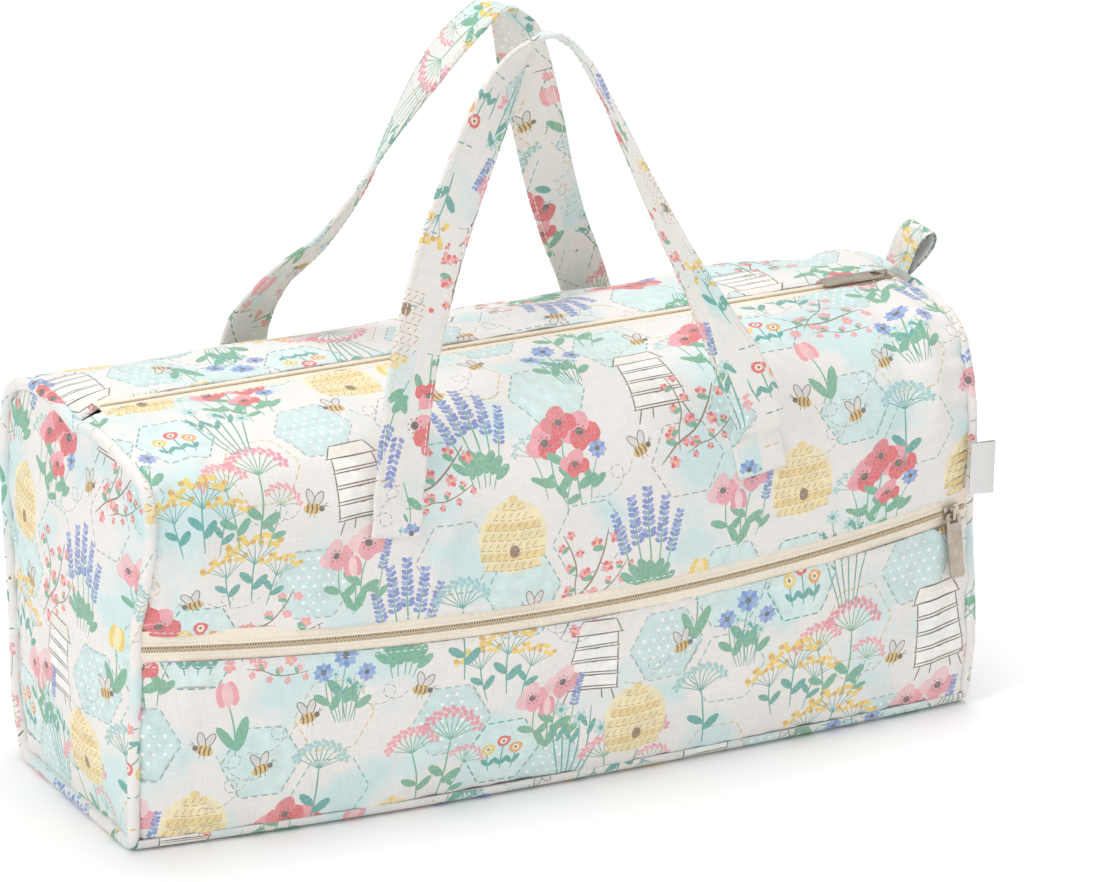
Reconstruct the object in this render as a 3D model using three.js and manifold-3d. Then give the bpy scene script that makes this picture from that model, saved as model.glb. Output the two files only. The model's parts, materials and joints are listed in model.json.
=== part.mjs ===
// A zip-topped knitting bag: a soft rounded box of printed cloth with a long needle pocket behind a second zip
// across its front, piped ends, two flat carrying straps and a folded tab at the end of the top zip.
// Millimetres. +X runs along the bag from its left end to its right end, -Y is the front, +Z is up.
// The origin is the middle of the flat underside.
import * as THREE from 'three';
import Module from 'manifold-3d';
import { mergeVertices } from 'three/addons/utils/BufferGeometryUtils.js';

const wasm = await Module();
wasm.setup();

// ---------------------------------------------------------------- driving dimensions

const LENGTH = 440; // between the two end seams
const HALF = LENGTH / 2;
const CLOTH = 1.6; // printed outer cloth with its backing
const LINING = 0.8;
const GAP = 0.3; // between pieces that are sewn together
const LINING_SLACK = 1.4; // the lining hangs a little inside the outer cloth
const LINING_DEPTH = CLOTH + LINING + 2 * GAP + LINING_SLACK; // from the outer surface in, past the zip tape

const TOP_Z = 200; // outer surface beside the top zip
const SEAM_Z = 7; // front and back walls join the base piece at this height
const END_SHARPNESS = 2.2; // how late the middle section turns into the end sections

const PIPING_R = 2.4;
const WALL_END = HALF - PIPING_R - GAP; // the long walls stop short of the piping
const END_PANEL_INSET = 2 * PIPING_R + GAP + 0.4; // from the bag's outline in, past the piping
const END_LINING_INSET = PIPING_R + GAP + LINING_DEPTH + 6.4;
const END_MIDDLE_Z = 98; // an end swells most at this height
const END_BULGE = 8;

const POCKET_DEPTH = 24; // needle pocket, from the front zip in to its back wall
const POCKET_TOP_Z = 150;

const HEM_EDGE = 3.9; // from the middle of a zip to the folded cloth beside it
const TAPE_EDGE = 9;
const COIL_INNER = 0.6;
const COIL_OUTER = 2.0;
const COIL_LEVEL = [-2.9, -0.9]; // below the outer surface of the cloth
const TAPE_LEVEL = [-2.7, -1.9];

const SLIDER = { length: 9, half: 3.2, top: [-0.6, 0.7], bottom: [-4.3, -3.2], blade: 0.3 };
const BRIDGE = { reach: 3, post: 0.6, half: 0.9, bar: [2.5, 3.3] };
const PULL = { width: 8.6, length: 32, thick: 1.1, bar: 1.1, eye: [4.8, 4.2], level: 1.6, pivot: -0.75 };

const FRONT_PULL_TURN = 84; // plumb, although the zip rises towards its ends
const FRONT_PULL_TILT = 11; // it hangs over the swell of the wall below it

const TOP_ZIP_X = [-206, 213]; // ends of the top zip
const FRONT_ZIP_X = [-214, 214];
const TOP_SLIDER_X = 207;
const FRONT_SLIDER_X = 208;

const STRAP_W = 26;
const STRAP_T = 2.4;
const FOOT_TOP_Z = 174; // the strap is free above this height
const FOOT_BOTTOM_Z = 147;
const FOOT_X = 94;

const COLOURS = {
  print: 0xe6e2dd, aqua: 0xd3e3e3, lining: 0x8c8a86, board: 0x77706a, tape: 0xe3d9c8, coil: 0xc4b296,
  metal: 0xa99d90, label: 0xd9d9d8,
};

// ---------------------------------------------------------------- cross-section of the bag

// Points [y, z] of the front wall at the left end, the middle and the right end, from the bottom seam to just
// below the front zip, and from just above it, over the top edge, to the top zip.
const FRONT_LOW = {
  left: [[-67, SEAM_Z], [-67.5, 45]],
  middle: [[-79, SEAM_Z], [-87, 42]],
  right: [[-72, SEAM_Z], [-76.5, 40]],
};
const FRONT_HIGH = {
  left: [[-79, 134], [-87.5, 168], [-81, 188.5], [-62, 195], [-12, TOP_Z]],
  middle: [[-90, 130], [-84, 166], [-68, 188], [-42, 198], [-12, TOP_Z]],
  right: [[-73, 132], [-69, 166], [-56, 191], [-36, 198], [-12, TOP_Z]],
};
const BACK = {
  left: [[12, TOP_Z], [56, 196], [76, 186], [84, 160], [81, 115], [75, 68], [72, 28], [64, SEAM_Z]],
  middle: [[12, TOP_Z], [45, 198], [70, 188], [86, 163], [91, 120], [91, 75], [86, 35], [77, SEAM_Z]],
  right: [[12, TOP_Z], [36, 198], [56, 191], [70, 163], [75, 120], [79, 75], [79, 35], [73, SEAM_Z]],
};

// The middle section's points, turning into an end section's points towards that end.
function pointsAt(x, profile) {
  const share = Math.min(1, Math.abs(x) / HALF) ** END_SHARPNESS;
  const end = x < 0 ? profile.left : profile.right;
  return profile.middle.map(([y, z], i) => new THREE.Vector3(
    x, y + (end[i][0] - y) * share, z + (end[i][1] - z) * share));
}

// ---------------------------------------------------------------- the two zips

// Both zips have local axes: along the teeth, across them, and out of the bag.
const topZip = {
  at: (s) => new THREE.Matrix4().makeTranslation(s, 0, TOP_Z),
};

// The front zip is an arc of a circle in a tilted plane: it bows forwards and dips in the middle.
const FRONT_ZIP_MIDDLE = new THREE.Vector3(0, -91, 95.5);
const FRONT_ZIP_BOW = new THREE.Vector3(0, -19, -8.5); // from the chord to the middle of the arc
const FRONT_ZIP_CHORD = 213; // half of it
const zipBow = FRONT_ZIP_BOW.length();
const zipRadius = (FRONT_ZIP_CHORD ** 2 + zipBow ** 2) / (2 * zipBow);
const zipOut = FRONT_ZIP_BOW.clone().normalize();
const zipAxis = zipOut.clone().cross(new THREE.Vector3(1, 0, 0));
const zipCentre = FRONT_ZIP_MIDDLE.clone().addScaledVector(zipOut, -zipRadius);

const frontZip = {
  at: (s) => new THREE.Matrix4().makeTranslation(...zipCentre)
    .multiply(new THREE.Matrix4().makeRotationAxis(zipAxis, s / zipRadius))
    .multiply(new THREE.Matrix4().makeTranslation(...FRONT_ZIP_MIDDLE.clone().sub(zipCentre)))
    .multiply(new THREE.Matrix4().makeBasis(
      new THREE.Vector3(1, 0, 0), new THREE.Vector3(0, 0, 1), new THREE.Vector3(0, -1, 0))),
  arcAt: (x) => zipRadius * Math.asin(x / zipRadius),
};

function zipPoint(x, across) {
  return new THREE.Vector3(0, across, 0).applyMatrix4(frontZip.at(frontZip.arcAt(x)));
}

// ---------------------------------------------------------------- wall surfaces

// The whole front wall at one station, as a curve, with the share of its length at which the zip lies.
const frontCache = new Map();
function frontSection(x) {
  if (!frontCache.has(x)) {
    const low = pointsAt(x, FRONT_LOW);
    const high = pointsAt(x, FRONT_HIGH);
    const band = [-TAPE_EDGE, 0, TAPE_EDGE].map((across) => zipPoint(x, across));
    const edge = new THREE.Vector3(x, -HEM_EDGE, TOP_Z);
    const points = [...low, ...band, ...high, edge];
    const curve = new THREE.CatmullRomCurve3(points, false, 'centripetal');
    const zipParameter = (low.length + 1) / (points.length - 1);
    let below = 0;
    let above = 1;
    for (let i = 0; i < 30; i += 1) {
      const share = (below + above) / 2;
      if (curve.getUtoTmapping(share) < zipParameter) below = share;
      else above = share;
    }
    frontCache.set(x, { curve, zip: below, hem: HEM_EDGE / curve.getLength() });
  }
  return frontCache.get(x);
}

const backCache = new Map();
function backSection(x) {
  if (!backCache.has(x)) {
    const edge = new THREE.Vector3(x, HEM_EDGE, TOP_Z);
    backCache.set(x, new THREE.CatmullRomCurve3([edge, ...pointsAt(x, BACK)], false, 'centripetal'));
  }
  return backCache.get(x);
}

function between(from, to, share) {
  return from + (to - from) * share;
}

const frontLow = (x, v) => {
  const { curve, zip, hem } = frontSection(x);
  return curve.getPointAt(between(0, zip - hem, v));
};
const frontHigh = (x, v) => {
  const { curve, zip, hem } = frontSection(x);
  return curve.getPointAt(between(zip + hem, 1, v));
};
const backWall = (x, v) => backSection(x).getPointAt(v);

// The underside: a flat floor with its two long edges turned up to the seams.
const RIM = [[0.1, SEAM_Z - 1.2], [2.5, 2.2], [8, 0], [30, 0]];
function baseSection(x) {
  const front = pointsAt(x, FRONT_LOW)[0].y;
  const back = pointsAt(x, BACK).at(-1).y;
  const rise = RIM.map(([inset, z]) => new THREE.Vector3(x, front + inset, z));
  const fall = RIM.map(([inset, z]) => new THREE.Vector3(x, back - inset, z)).reverse();
  return [...rise, ...fall];
}
const BASE_STEPS = 2 * RIM.length - 1;
const baseFloor = (x, v) => {
  const points = baseSection(x);
  const at = Math.min(v * BASE_STEPS, BASE_STEPS - 1e-6);
  const index = Math.floor(at);
  return points[index].clone().lerp(points[index + 1], at - index);
};

// ---------------------------------------------------------------- geometry helpers

// A box whose three directions are bent onto place(u, v, w), each from 0 to 1.
function bentBox(steps, place) {
  const geometry = new THREE.BoxGeometry(1, 1, 1, ...steps);
  const position = geometry.attributes.position;
  for (let i = 0; i < position.count; i += 1) {
    const p = place(position.getX(i) + 0.5, position.getY(i) + 0.5, position.getZ(i) + 0.5);
    position.setXYZ(i, p.x, p.y, p.z);
  }
  geometry.deleteAttribute('normal');
  geometry.deleteAttribute('uv');
  geometry.computeVertexNormals();
  return geometry;
}

// The outward normal of a surface over x and v.
function outward(surface, x, v) {
  const d = 0.004;
  const along = surface(Math.min(x + 0.5, HALF), v).sub(surface(Math.max(x - 0.5, -HALF), v));
  const across = surface(x, Math.min(v + d, 1)).sub(surface(x, Math.max(v - d, 0)));
  return along.cross(across).normalize();
}

// Cloth of a given thickness, whose outer face lies at a depth under a surface. span is its share of the surface.
function cloth(surface, ends, steps, depth, thickness, span = [0, 1]) {
  return bentBox([...steps, 1], (u, v, w) => {
    const x = between(ends[0], ends[1], u);
    const at = between(span[0], span[1], v);
    return surface(x, at).addScaledVector(outward(surface, x, at), -(depth + thickness * (1 - w)));
  });
}

// A ribbon along a zip, between two distances across it and two levels out of it.
function zipRibbon(zip, from, to, steps, across, level) {
  return bentBox([steps, 1, 1], (u, v, w) => new THREE.Vector3(
    0, between(across[0], across[1], v), between(level[0], level[1], w),
  ).applyMatrix4(zip.at(between(from, to, u))));
}

// A closed lid made of rings of points that shrink to one point in the middle.
function lid(outerRings, innerRings, flip) {
  const count = outerRings[0].length;
  const vertices = [];
  const faces = [];
  const addDisc = (rings, reversed) => {
    const start = vertices.length;
    rings.forEach((ring) => vertices.push(...ring));
    const centre = vertices.push(rings.centre) - 1;
    const face = (a, b, c) => faces.push(...(reversed ? [a, c, b] : [a, b, c]));
    for (let i = 0; i < count; i += 1) {
      const next = (i + 1) % count;
      for (let r = 0; r < rings.length - 1; r += 1) {
        const near = start + r * count;
        const far = near + count;
        face(near + i, near + next, far + next);
        face(near + i, far + next, far + i);
      }
      const last = start + (rings.length - 1) * count;
      face(last + i, last + next, centre);
    }
    return start;
  };
  const outer = addDisc(outerRings, flip);
  const inner = addDisc(innerRings, !flip);
  for (let i = 0; i < count; i += 1) {
    const next = (i + 1) % count;
    const a = [outer + i, inner + i, inner + next];
    const b = [outer + i, inner + next, outer + next];
    faces.push(...(flip ? a.reverse() : a), ...(flip ? b.reverse() : b));
  }
  const geometry = new THREE.BufferGeometry().setFromPoints(vertices);
  geometry.setIndex(faces);
  geometry.computeVertexNormals();
  return geometry;
}

function toSolid(geometry) {
  const bare = geometry.clone();
  bare.deleteAttribute('normal');
  bare.deleteAttribute('uv');
  const merged = mergeVertices(bare, 1e-4);
  return new wasm.Manifold(new wasm.Mesh({
    numProp: 3,
    vertProperties: new Float32Array(merged.attributes.position.array),
    triVerts: new Uint32Array(merged.index.array),
  }));
}

function fromSolid(solid) {
  const mesh = solid.getMesh();
  const geometry = new THREE.BufferGeometry();
  geometry.setAttribute('position', new THREE.BufferAttribute(mesh.vertProperties, 3));
  geometry.setIndex(new THREE.BufferAttribute(mesh.triVerts, 1));
  geometry.computeVertexNormals();
  return geometry;
}

// A block between two corners, as a solid.
function block(low, high) {
  const size = high.map((value, i) => value - low[i]);
  const geometry = new THREE.BoxGeometry(...size);
  geometry.translate(...low.map((value, i) => value + size[i] / 2));
  return toSolid(geometry);
}

// ---------------------------------------------------------------- the bag

const bag = new THREE.Group();

function add(name, geometry, colour, roughness = 0.9, metalness = 0, parent = bag) {
  const material = new THREE.MeshStandardMaterial({ color: colour, roughness, metalness });
  const mesh = new THREE.Mesh(geometry, material);
  mesh.name = name;
  parent.add(mesh);
  return mesh;
}

// ---- walls and base
const LONG = [-WALL_END, WALL_END];
add('front_lower_panel', cloth(frontLow, LONG, [18, 5], 0, CLOTH), COLOURS.print);
add('front_upper_panel', cloth(frontHigh, LONG, [18, 10], 0, CLOTH), COLOURS.print);
add('back_panel', cloth(backWall, LONG, [18, 14], 0, CLOTH), COLOURS.print);
add('base_panel', cloth((x, v) => baseFloor(x, 1 - v), LONG, [12, BASE_STEPS], 0, CLOTH), COLOURS.print);

const BOARD = { length: 424, depth: 112, thick: 2, z: CLOTH + GAP };
const BASE_LINING_DEPTH = 118;
const board = new THREE.BoxGeometry(BOARD.length, BOARD.depth, BOARD.thick);
board.translate(0, 0, BOARD.z + BOARD.thick / 2);
add('base_board', board, COLOURS.board);

const BASE_LINING_Z = BOARD.z + BOARD.thick + GAP;
const baseLining = new THREE.BoxGeometry(BOARD.length, BASE_LINING_DEPTH, LINING);
baseLining.translate(0, 0, BASE_LINING_Z + LINING / 2);
add('base_lining', baseLining, COLOURS.lining);

// ---- inner layers: the back lining follows the back wall, the pocket wall stands off the front wall
const LINING_ENDS = [-(HALF - 8), HALF - 8];
const BACK_LINING_SPAN = [0.012, 0.985]; // leaves the top slider its room, and stops above the base lining
add('back_lining', cloth(backWall, LINING_ENDS, [12, 12], LINING_DEPTH, LINING, BACK_LINING_SPAN), COLOURS.lining);

const POCKET_BOTTOM_Z = BASE_LINING_Z + LINING + 1;
const POCKET_UPRIGHT_Z = [60, 108]; // the pocket wall is upright up to here
function pocketSection(x) {
  const { curve } = frontSection(x);
  const top = [];
  for (let share = 0.7; share <= 0.99; share += 0.04) {
    const point = curve.getPointAt(share);
    const tangent = curve.getTangentAt(share);
    const inward = new THREE.Vector3(0, tangent.z, -tangent.y);
    top.push(point.addScaledVector(inward, LINING_DEPTH));
  }
  const back = zipPoint(x, 0).y + POCKET_DEPTH;
  const start = top.findIndex((p) => p.z > POCKET_TOP_Z);
  return new THREE.CatmullRomCurve3([
    new THREE.Vector3(x, back, POCKET_BOTTOM_Z),
    ...POCKET_UPRIGHT_Z.map((z) => new THREE.Vector3(x, back, z)),
    ...top.slice(start),
  ], false, 'centripetal');
}
add('needle_pocket_wall', cloth((x, v) => pocketSection(x).getPointAt(v), LINING_ENDS, [12, 12], 0, LINING),
  COLOURS.lining);

// ---- ends: a bulging panel, its piping and its lining
const OUTLINE_STEPS = 44;
const SECTION_STEPS = 14; // along the front wall, and again along the back wall
function endOutline(side) {
  const x = side * HALF;
  const points = [];
  for (let i = 0; i <= SECTION_STEPS; i += 1) points.push(frontSection(x).curve.getPointAt(i / SECTION_STEPS));
  for (let i = 0; i <= SECTION_STEPS; i += 1) points.push(backSection(x).getPointAt(i / SECTION_STEPS));
  points.push(...baseSection(x).reverse());
  const loop = new THREE.CatmullRomCurve3(points, true, 'centripetal');
  loop.arcLengthDivisions = 400;
  return loop;
}

// The outline moved inwards by a distance, as equally spaced points.
function insetOutline(side, distance, count) {
  const loop = endOutline(side);
  const points = [];
  for (let i = 0; i < count; i += 1) {
    const tangent = loop.getTangentAt(i / count);
    const inward = new THREE.Vector3(0, tangent.z, -tangent.y);
    points.push(loop.getPointAt(i / count).addScaledVector(inward, distance));
  }
  return points;
}

const RING_SHARES = [1, 0.86, 0.62, 0.34];
function endRings(side, inset, x, bulge, count) {
  const rim = insetOutline(side, inset, count);
  const centre = new THREE.Vector3(0, 0, END_MIDDLE_Z);
  const place = (p, share) => new THREE.Vector3(
    side * (x + bulge * (1 - share ** 2)), between(centre.y, p.y, share), between(centre.z, p.z, share));
  const rings = RING_SHARES.map((share) => rim.map((p) => place(p, share)));
  rings.centre = place(centre, 0);
  return rings;
}

function endLid(side, inset, x, bulge, thickness, count) {
  const outer = endRings(side, inset, x, bulge, count);
  const inner = endRings(side, inset, x - thickness, bulge, count);
  return lid(outer, inner, side > 0);
}

function piping(side) {
  const sides = 6;
  const spine = insetOutline(side, PIPING_R + 0.1, OUTLINE_STEPS);
  spine.forEach((p) => p.setZ(Math.max(p.z, PIPING_R + 0.2)));
  const axis = insetOutline(side, 0, OUTLINE_STEPS).map((p, i) => p.sub(spine[i]).normalize());
  const geometry = new THREE.TorusGeometry(1, 0.5, sides, OUTLINE_STEPS);
  const position = geometry.attributes.position;
  for (let j = 0; j <= sides; j += 1) {
    for (let i = 0; i <= OUTLINE_STEPS; i += 1) {
      const at = i % OUTLINE_STEPS;
      const turn = (j % sides) / sides * 2 * Math.PI;
      const p = spine[at].clone().addScaledVector(axis[at], Math.cos(turn) * PIPING_R);
      p.x += side * Math.sin(turn) * PIPING_R;
      position.setXYZ(j * (OUTLINE_STEPS + 1) + i, p.x, p.y, p.z);
    }
  }
  geometry.deleteAttribute('normal');
  geometry.deleteAttribute('uv');
  if (side > 0) geometry.index.array.reverse();
  geometry.computeVertexNormals();
  return geometry;
}

for (const [side, name] of [[-1, 'left'], [1, 'right']]) {
  add(`${name}_end_panel`, endLid(side, END_PANEL_INSET, HALF, END_BULGE, CLOTH, OUTLINE_STEPS),
    COLOURS.aqua);
  add(`${name}_piping`, piping(side), COLOURS.aqua);
  add(`${name}_end_lining`, endLid(side, END_LINING_INSET, HALF - LINING_DEPTH - 2, END_BULGE - 1, LINING, 26),
    COLOURS.lining);
}

// ---- zips
function addZip(zip, prefix, ends, steps, sides) {
  sides.forEach(([name, sign]) => {
    const across = (near, far) => (sign > 0 ? [near, far] : [-far, -near]);
    add(`${prefix}_tape_${name}`,
      zipRibbon(zip, ...ends, steps, across(COIL_OUTER + GAP, TAPE_EDGE), TAPE_LEVEL), COLOURS.tape);
    add(`${prefix}_coil_${name}`,
      zipRibbon(zip, ...ends, steps, across(COIL_INNER, COIL_OUTER), COIL_LEVEL), COLOURS.coil, 0.5);
  });
}
addZip(topZip, 'top_zip', TOP_ZIP_X, 1, [['front', -1], ['back', 1]]);
addZip(frontZip, 'front_zip', FRONT_ZIP_X.map(frontZip.arcAt), 24, [['lower', -1], ['upper', 1]]);

// The slider's two plates hold the teeth between them, and its blade parts them. The bridge carries the pull.
function sliderGeometry(bridgeTurn) {
  const s = SLIDER;
  const b = BRIDGE;
  const end = s.length / 2;
  const plates = block([-end, -s.half, s.top[0]], [end, s.half, s.top[1]])
    .add(block([-end, -s.half, s.bottom[0]], [end, s.half, s.bottom[1]]))
    .add(block([end - 3, -s.blade, s.bottom[1] - 0.1], [end - 0.5, s.blade, s.top[0] + 0.1]));
  const posts = [-b.reach, b.reach - b.post].map((at) => block(
    [at, -b.half, s.top[1] - 0.1], [at + b.post, b.half, b.bar[1]]));
  const bridge = posts[0].add(posts[1]).add(block([-b.reach, -b.half, b.bar[0]], [b.reach, b.half, b.bar[1]]));
  return fromSolid(plates.add(bridge.rotate([0, 0, bridgeTurn])));
}

// A flat pull with rounded ends and an eye. Its origin is its pivot, and it lies towards -X.
function pullGeometry() {
  const shape = new THREE.Shape();
  const half = PULL.width / 2;
  const round = 2;
  const near = PULL.pivot + PULL.bar / 2;
  const far = near - PULL.length;
  shape.moveTo(near, -half + round);
  shape.lineTo(near, half - round);
  shape.quadraticCurveTo(near, half, near - round, half);
  shape.lineTo(far + round, half);
  shape.quadraticCurveTo(far, half, far, half - round);
  shape.lineTo(far, -half + round);
  shape.quadraticCurveTo(far, -half, far + round, -half);
  shape.lineTo(near - round, -half);
  shape.quadraticCurveTo(near, -half, near, -half + round);
  const [eyeWidth, eyeLength] = PULL.eye;
  const eye = new THREE.Path();
  const eyeNear = near - PULL.bar;
  eye.moveTo(eyeNear, -eyeWidth / 2);
  eye.lineTo(eyeNear - eyeLength, -eyeWidth / 2);
  eye.lineTo(eyeNear - eyeLength, eyeWidth / 2);
  eye.lineTo(eyeNear, eyeWidth / 2);
  eye.closePath();
  shape.holes.push(eye);
  const geometry = new THREE.ExtrudeGeometry(shape, { depth: PULL.thick, bevelEnabled: false, curveSegments: 4 });
  geometry.translate(-PULL.pivot, 0, -PULL.thick / 2);
  return geometry;
}

// turn is the way the pull points, about the zip's outward axis. tilt lifts its far end off the cloth.
function addSlider(zip, at, prefix, turn, tilt) {
  const group = new THREE.Group();
  zip.at(at).decompose(group.position, group.quaternion, group.scale);
  add(`${prefix}_slider`, sliderGeometry(turn), COLOURS.metal, 0.4, 0.9, group);
  const pull = add(`${prefix}_pull`, pullGeometry(), COLOURS.metal, 0.4, 0.9, group);
  const outwardAxis = new THREE.Vector3(0, 0, 1);
  pull.position.set(PULL.pivot, 0, PULL.level).applyAxisAngle(outwardAxis, THREE.MathUtils.degToRad(turn));
  pull.rotation.set(0, THREE.MathUtils.degToRad(tilt), THREE.MathUtils.degToRad(turn), 'ZYX');
  bag.add(group);
}
addSlider(topZip, TOP_SLIDER_X, 'top_zip', 0, 0);
addSlider(frontZip, frontZip.arcAt(FRONT_SLIDER_X), 'front_zip', FRONT_PULL_TURN, FRONT_PULL_TILT);

// ---- carrying straps: each path point is [x, y, z, twist in degrees away from lying flat in the loop's plane]
const FRONT_STRAP = [
  [-94, -87.5, FOOT_TOP_Z + GAP, 0], [-90, -84, 200, 0], [-81, -76, 231, 0], [-64, -65, 272, 5],
  [-45, -55, 307, 12], [-27, -48, 337, 28], [-12, -43, 355, 60], [4, -41, 364, 88], [18, -43, 355, 85],
  [31, -50, 330, 72], [44, -57, 298, 50], [59, -66, 262, 25], [72.5, -76, 231, 8], [86, -84, 200, 0],
  [94, -87.5, FOOT_TOP_Z + GAP, 0],
];
const BACK_STRAP = [
  [-94, 87.5, FOOT_TOP_Z + 3 * GAP, 0], [-92, 82, 197, 10], [-84, 69, 220, 45], [-66, 56, 242, 70],
  [-52, 45, 268, 80], [-40, 36, 298, 80], [-26, 26, 328, 75], [-10, 20, 350, 80], [5, 18, 361, 85],
  [17, 22, 350, 60], [28, 30, 322, 30], [40, 40, 290, 12], [52, 51, 258, 5], [66, 63, 227, 0],
  [83, 79, 198, 0], [94, 87.5, FOOT_TOP_Z + 3 * GAP, 0],
];

function strapGeometry(path) {
  const curve = new THREE.CatmullRomCurve3(path.map(([x, y, z]) => new THREE.Vector3(x, y, z)));
  const twistAt = (t) => {
    const at = t * (path.length - 1);
    const index = Math.min(Math.floor(at), path.length - 2);
    return THREE.MathUtils.degToRad(between(path[index][3], path[index + 1][3], at - index));
  };
  return bentBox([30, 1, 1], (u, v, w) => {
    const centre = curve.getPoint(u);
    const along = curve.getTangent(u);
    const facing = new THREE.Vector3(0, -1, 0);
    const inside = along.clone().cross(facing).negate().normalize();
    const front = inside.clone().cross(along).normalize();
    const turn = new THREE.Quaternion().setFromAxisAngle(along, twistAt(u));
    const width = inside.applyQuaternion(turn);
    const face = front.applyQuaternion(turn);
    return centre.addScaledVector(width, (v - 0.5) * STRAP_W).addScaledVector(face, (0.5 - w) * STRAP_T);
  });
}
add('front_handle', strapGeometry(FRONT_STRAP), COLOURS.print);
add('back_handle', strapGeometry(BACK_STRAP), COLOURS.print);

// The stitched-down feet lie on the wall between two heights.
function footGeometry(surface, x, rising) {
  const shareAt = (z) => {
    let low = 0;
    let high = rising ? 0.8 : 1;
    for (let i = 0; i < 30; i += 1) {
      const middle = (low + high) / 2;
      if ((surface(x, middle).z < z) === rising) low = middle;
      else high = middle;
    }
    return low;
  };
  const span = [shareAt(FOOT_BOTTOM_Z), shareAt(FOOT_TOP_Z)].sort((a, b) => a - b);
  return cloth(surface, [x - STRAP_W / 2, x + STRAP_W / 2], [3, 4], -(CLOTH + GAP), CLOTH, span);
}
for (const [side, name] of [[-1, 'left'], [1, 'right']]) {
  add(`front_handle_foot_${name}`, footGeometry(frontHigh, side * FOOT_X, true), COLOURS.print);
  add(`back_handle_foot_${name}`, footGeometry(backWall, side * FOOT_X, false), COLOURS.print);
}

// ---- the folded tab at the right end of the top zip: a loop of strap with its tunnel along Y
const TAB = { x: 216, z: TOP_Z + 3.2, height: 25, width: 22, wall: 1.5, belly: 5.5, lean: 36 };
function tabGeometry() {
  const drop = (belly, low, high) => {
    const path = new THREE.Shape();
    path.moveTo(0, low);
    path.bezierCurveTo(belly * 0.5, low + 2, belly, high * 0.45, belly, high * 0.72);
    path.bezierCurveTo(belly, high + 0.5, -belly, high + 0.5, -belly, high * 0.72);
    path.bezierCurveTo(-belly, high * 0.45, -belly * 0.5, low + 2, 0, low);
    return path;
  };
  const shape = drop(TAB.belly, 0, TAB.height);
  shape.holes.push(drop(TAB.belly - TAB.wall, 4, TAB.height - TAB.wall - 0.6));
  const geometry = new THREE.ExtrudeGeometry(shape, { depth: TAB.width, bevelEnabled: false, curveSegments: 6 });
  geometry.translate(0, 0, -TAB.width / 2);
  geometry.rotateX(Math.PI / 2);
  return geometry;
}
const tab = add('end_tab_loop', tabGeometry(), COLOURS.print);
tab.position.set(TAB.x, 0, TAB.z);
tab.rotation.y = THREE.MathUtils.degToRad(TAB.lean);

// ---- the folded blank label that the right front seam holds
const LABEL = { x: [215, 229], z: [113, 139], y: -78.2, thick: 0.8 };
const label = new THREE.BoxGeometry(LABEL.x[1] - LABEL.x[0], LABEL.thick, LABEL.z[1] - LABEL.z[0]);
label.translate((LABEL.x[0] + LABEL.x[1]) / 2, LABEL.y, (LABEL.z[0] + LABEL.z[1]) / 2);
add('side_label', label, COLOURS.label);

export default bag;
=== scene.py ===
"""The looks of a zip-topped knitting bag: printed cloth walls, piping, two zips, straps, a tab and a label.

Lengths are in millimetres until a mesh is made. u runs along the bag and v across the cloth.
"""

import json
import math
import random

import bmesh
import bpy
import numpy as np
from mathutils import Matrix, Vector
from mathutils.geometry import delaunay_2d_cdt


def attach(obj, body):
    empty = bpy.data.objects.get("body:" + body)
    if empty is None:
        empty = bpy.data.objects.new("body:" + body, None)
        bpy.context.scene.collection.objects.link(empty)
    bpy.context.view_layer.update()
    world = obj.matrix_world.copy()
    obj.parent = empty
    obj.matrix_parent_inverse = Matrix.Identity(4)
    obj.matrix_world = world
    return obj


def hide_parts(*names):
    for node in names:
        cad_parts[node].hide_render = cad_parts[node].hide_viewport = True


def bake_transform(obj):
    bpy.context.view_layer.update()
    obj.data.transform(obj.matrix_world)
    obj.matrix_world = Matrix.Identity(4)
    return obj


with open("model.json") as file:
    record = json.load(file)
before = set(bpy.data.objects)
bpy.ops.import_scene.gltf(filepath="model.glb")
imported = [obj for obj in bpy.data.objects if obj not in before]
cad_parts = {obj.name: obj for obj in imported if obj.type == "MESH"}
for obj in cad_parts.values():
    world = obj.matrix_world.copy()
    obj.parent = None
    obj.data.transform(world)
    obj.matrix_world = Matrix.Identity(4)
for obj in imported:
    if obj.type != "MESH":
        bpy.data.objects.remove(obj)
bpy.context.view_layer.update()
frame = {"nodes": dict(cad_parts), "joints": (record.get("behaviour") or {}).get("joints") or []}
MM = 0.001
JOINTS = {j["name"]: j for j in frame["joints"]}
scene = bpy.context.scene


# ------------------------------------------------------------------ camera, light and floor


VIEW_ANGLES = (-27.05, 21.0, 0.75)
VIEW_TARGET = (27.7, 0, 143.7)
VIEW_DISTANCE = 4.5215
LENS = 310
FILM_WIDTH = 36
LIGHT_AIM = (0, 0, 0.12)
LIGHTS = [
    ("key", (-2.6, -1.0, 2.0), 1.2, 28),
    ("top", (0.2, 0.3, 2.7), 1.5, 30),
    ("fill", (1.0, -2.8, 1.3), 1.2, 3),
]
SKY_STRENGTH = 0.70
FLOOR_HALF = 30
FLOOR_GREY = 0.97


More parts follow.
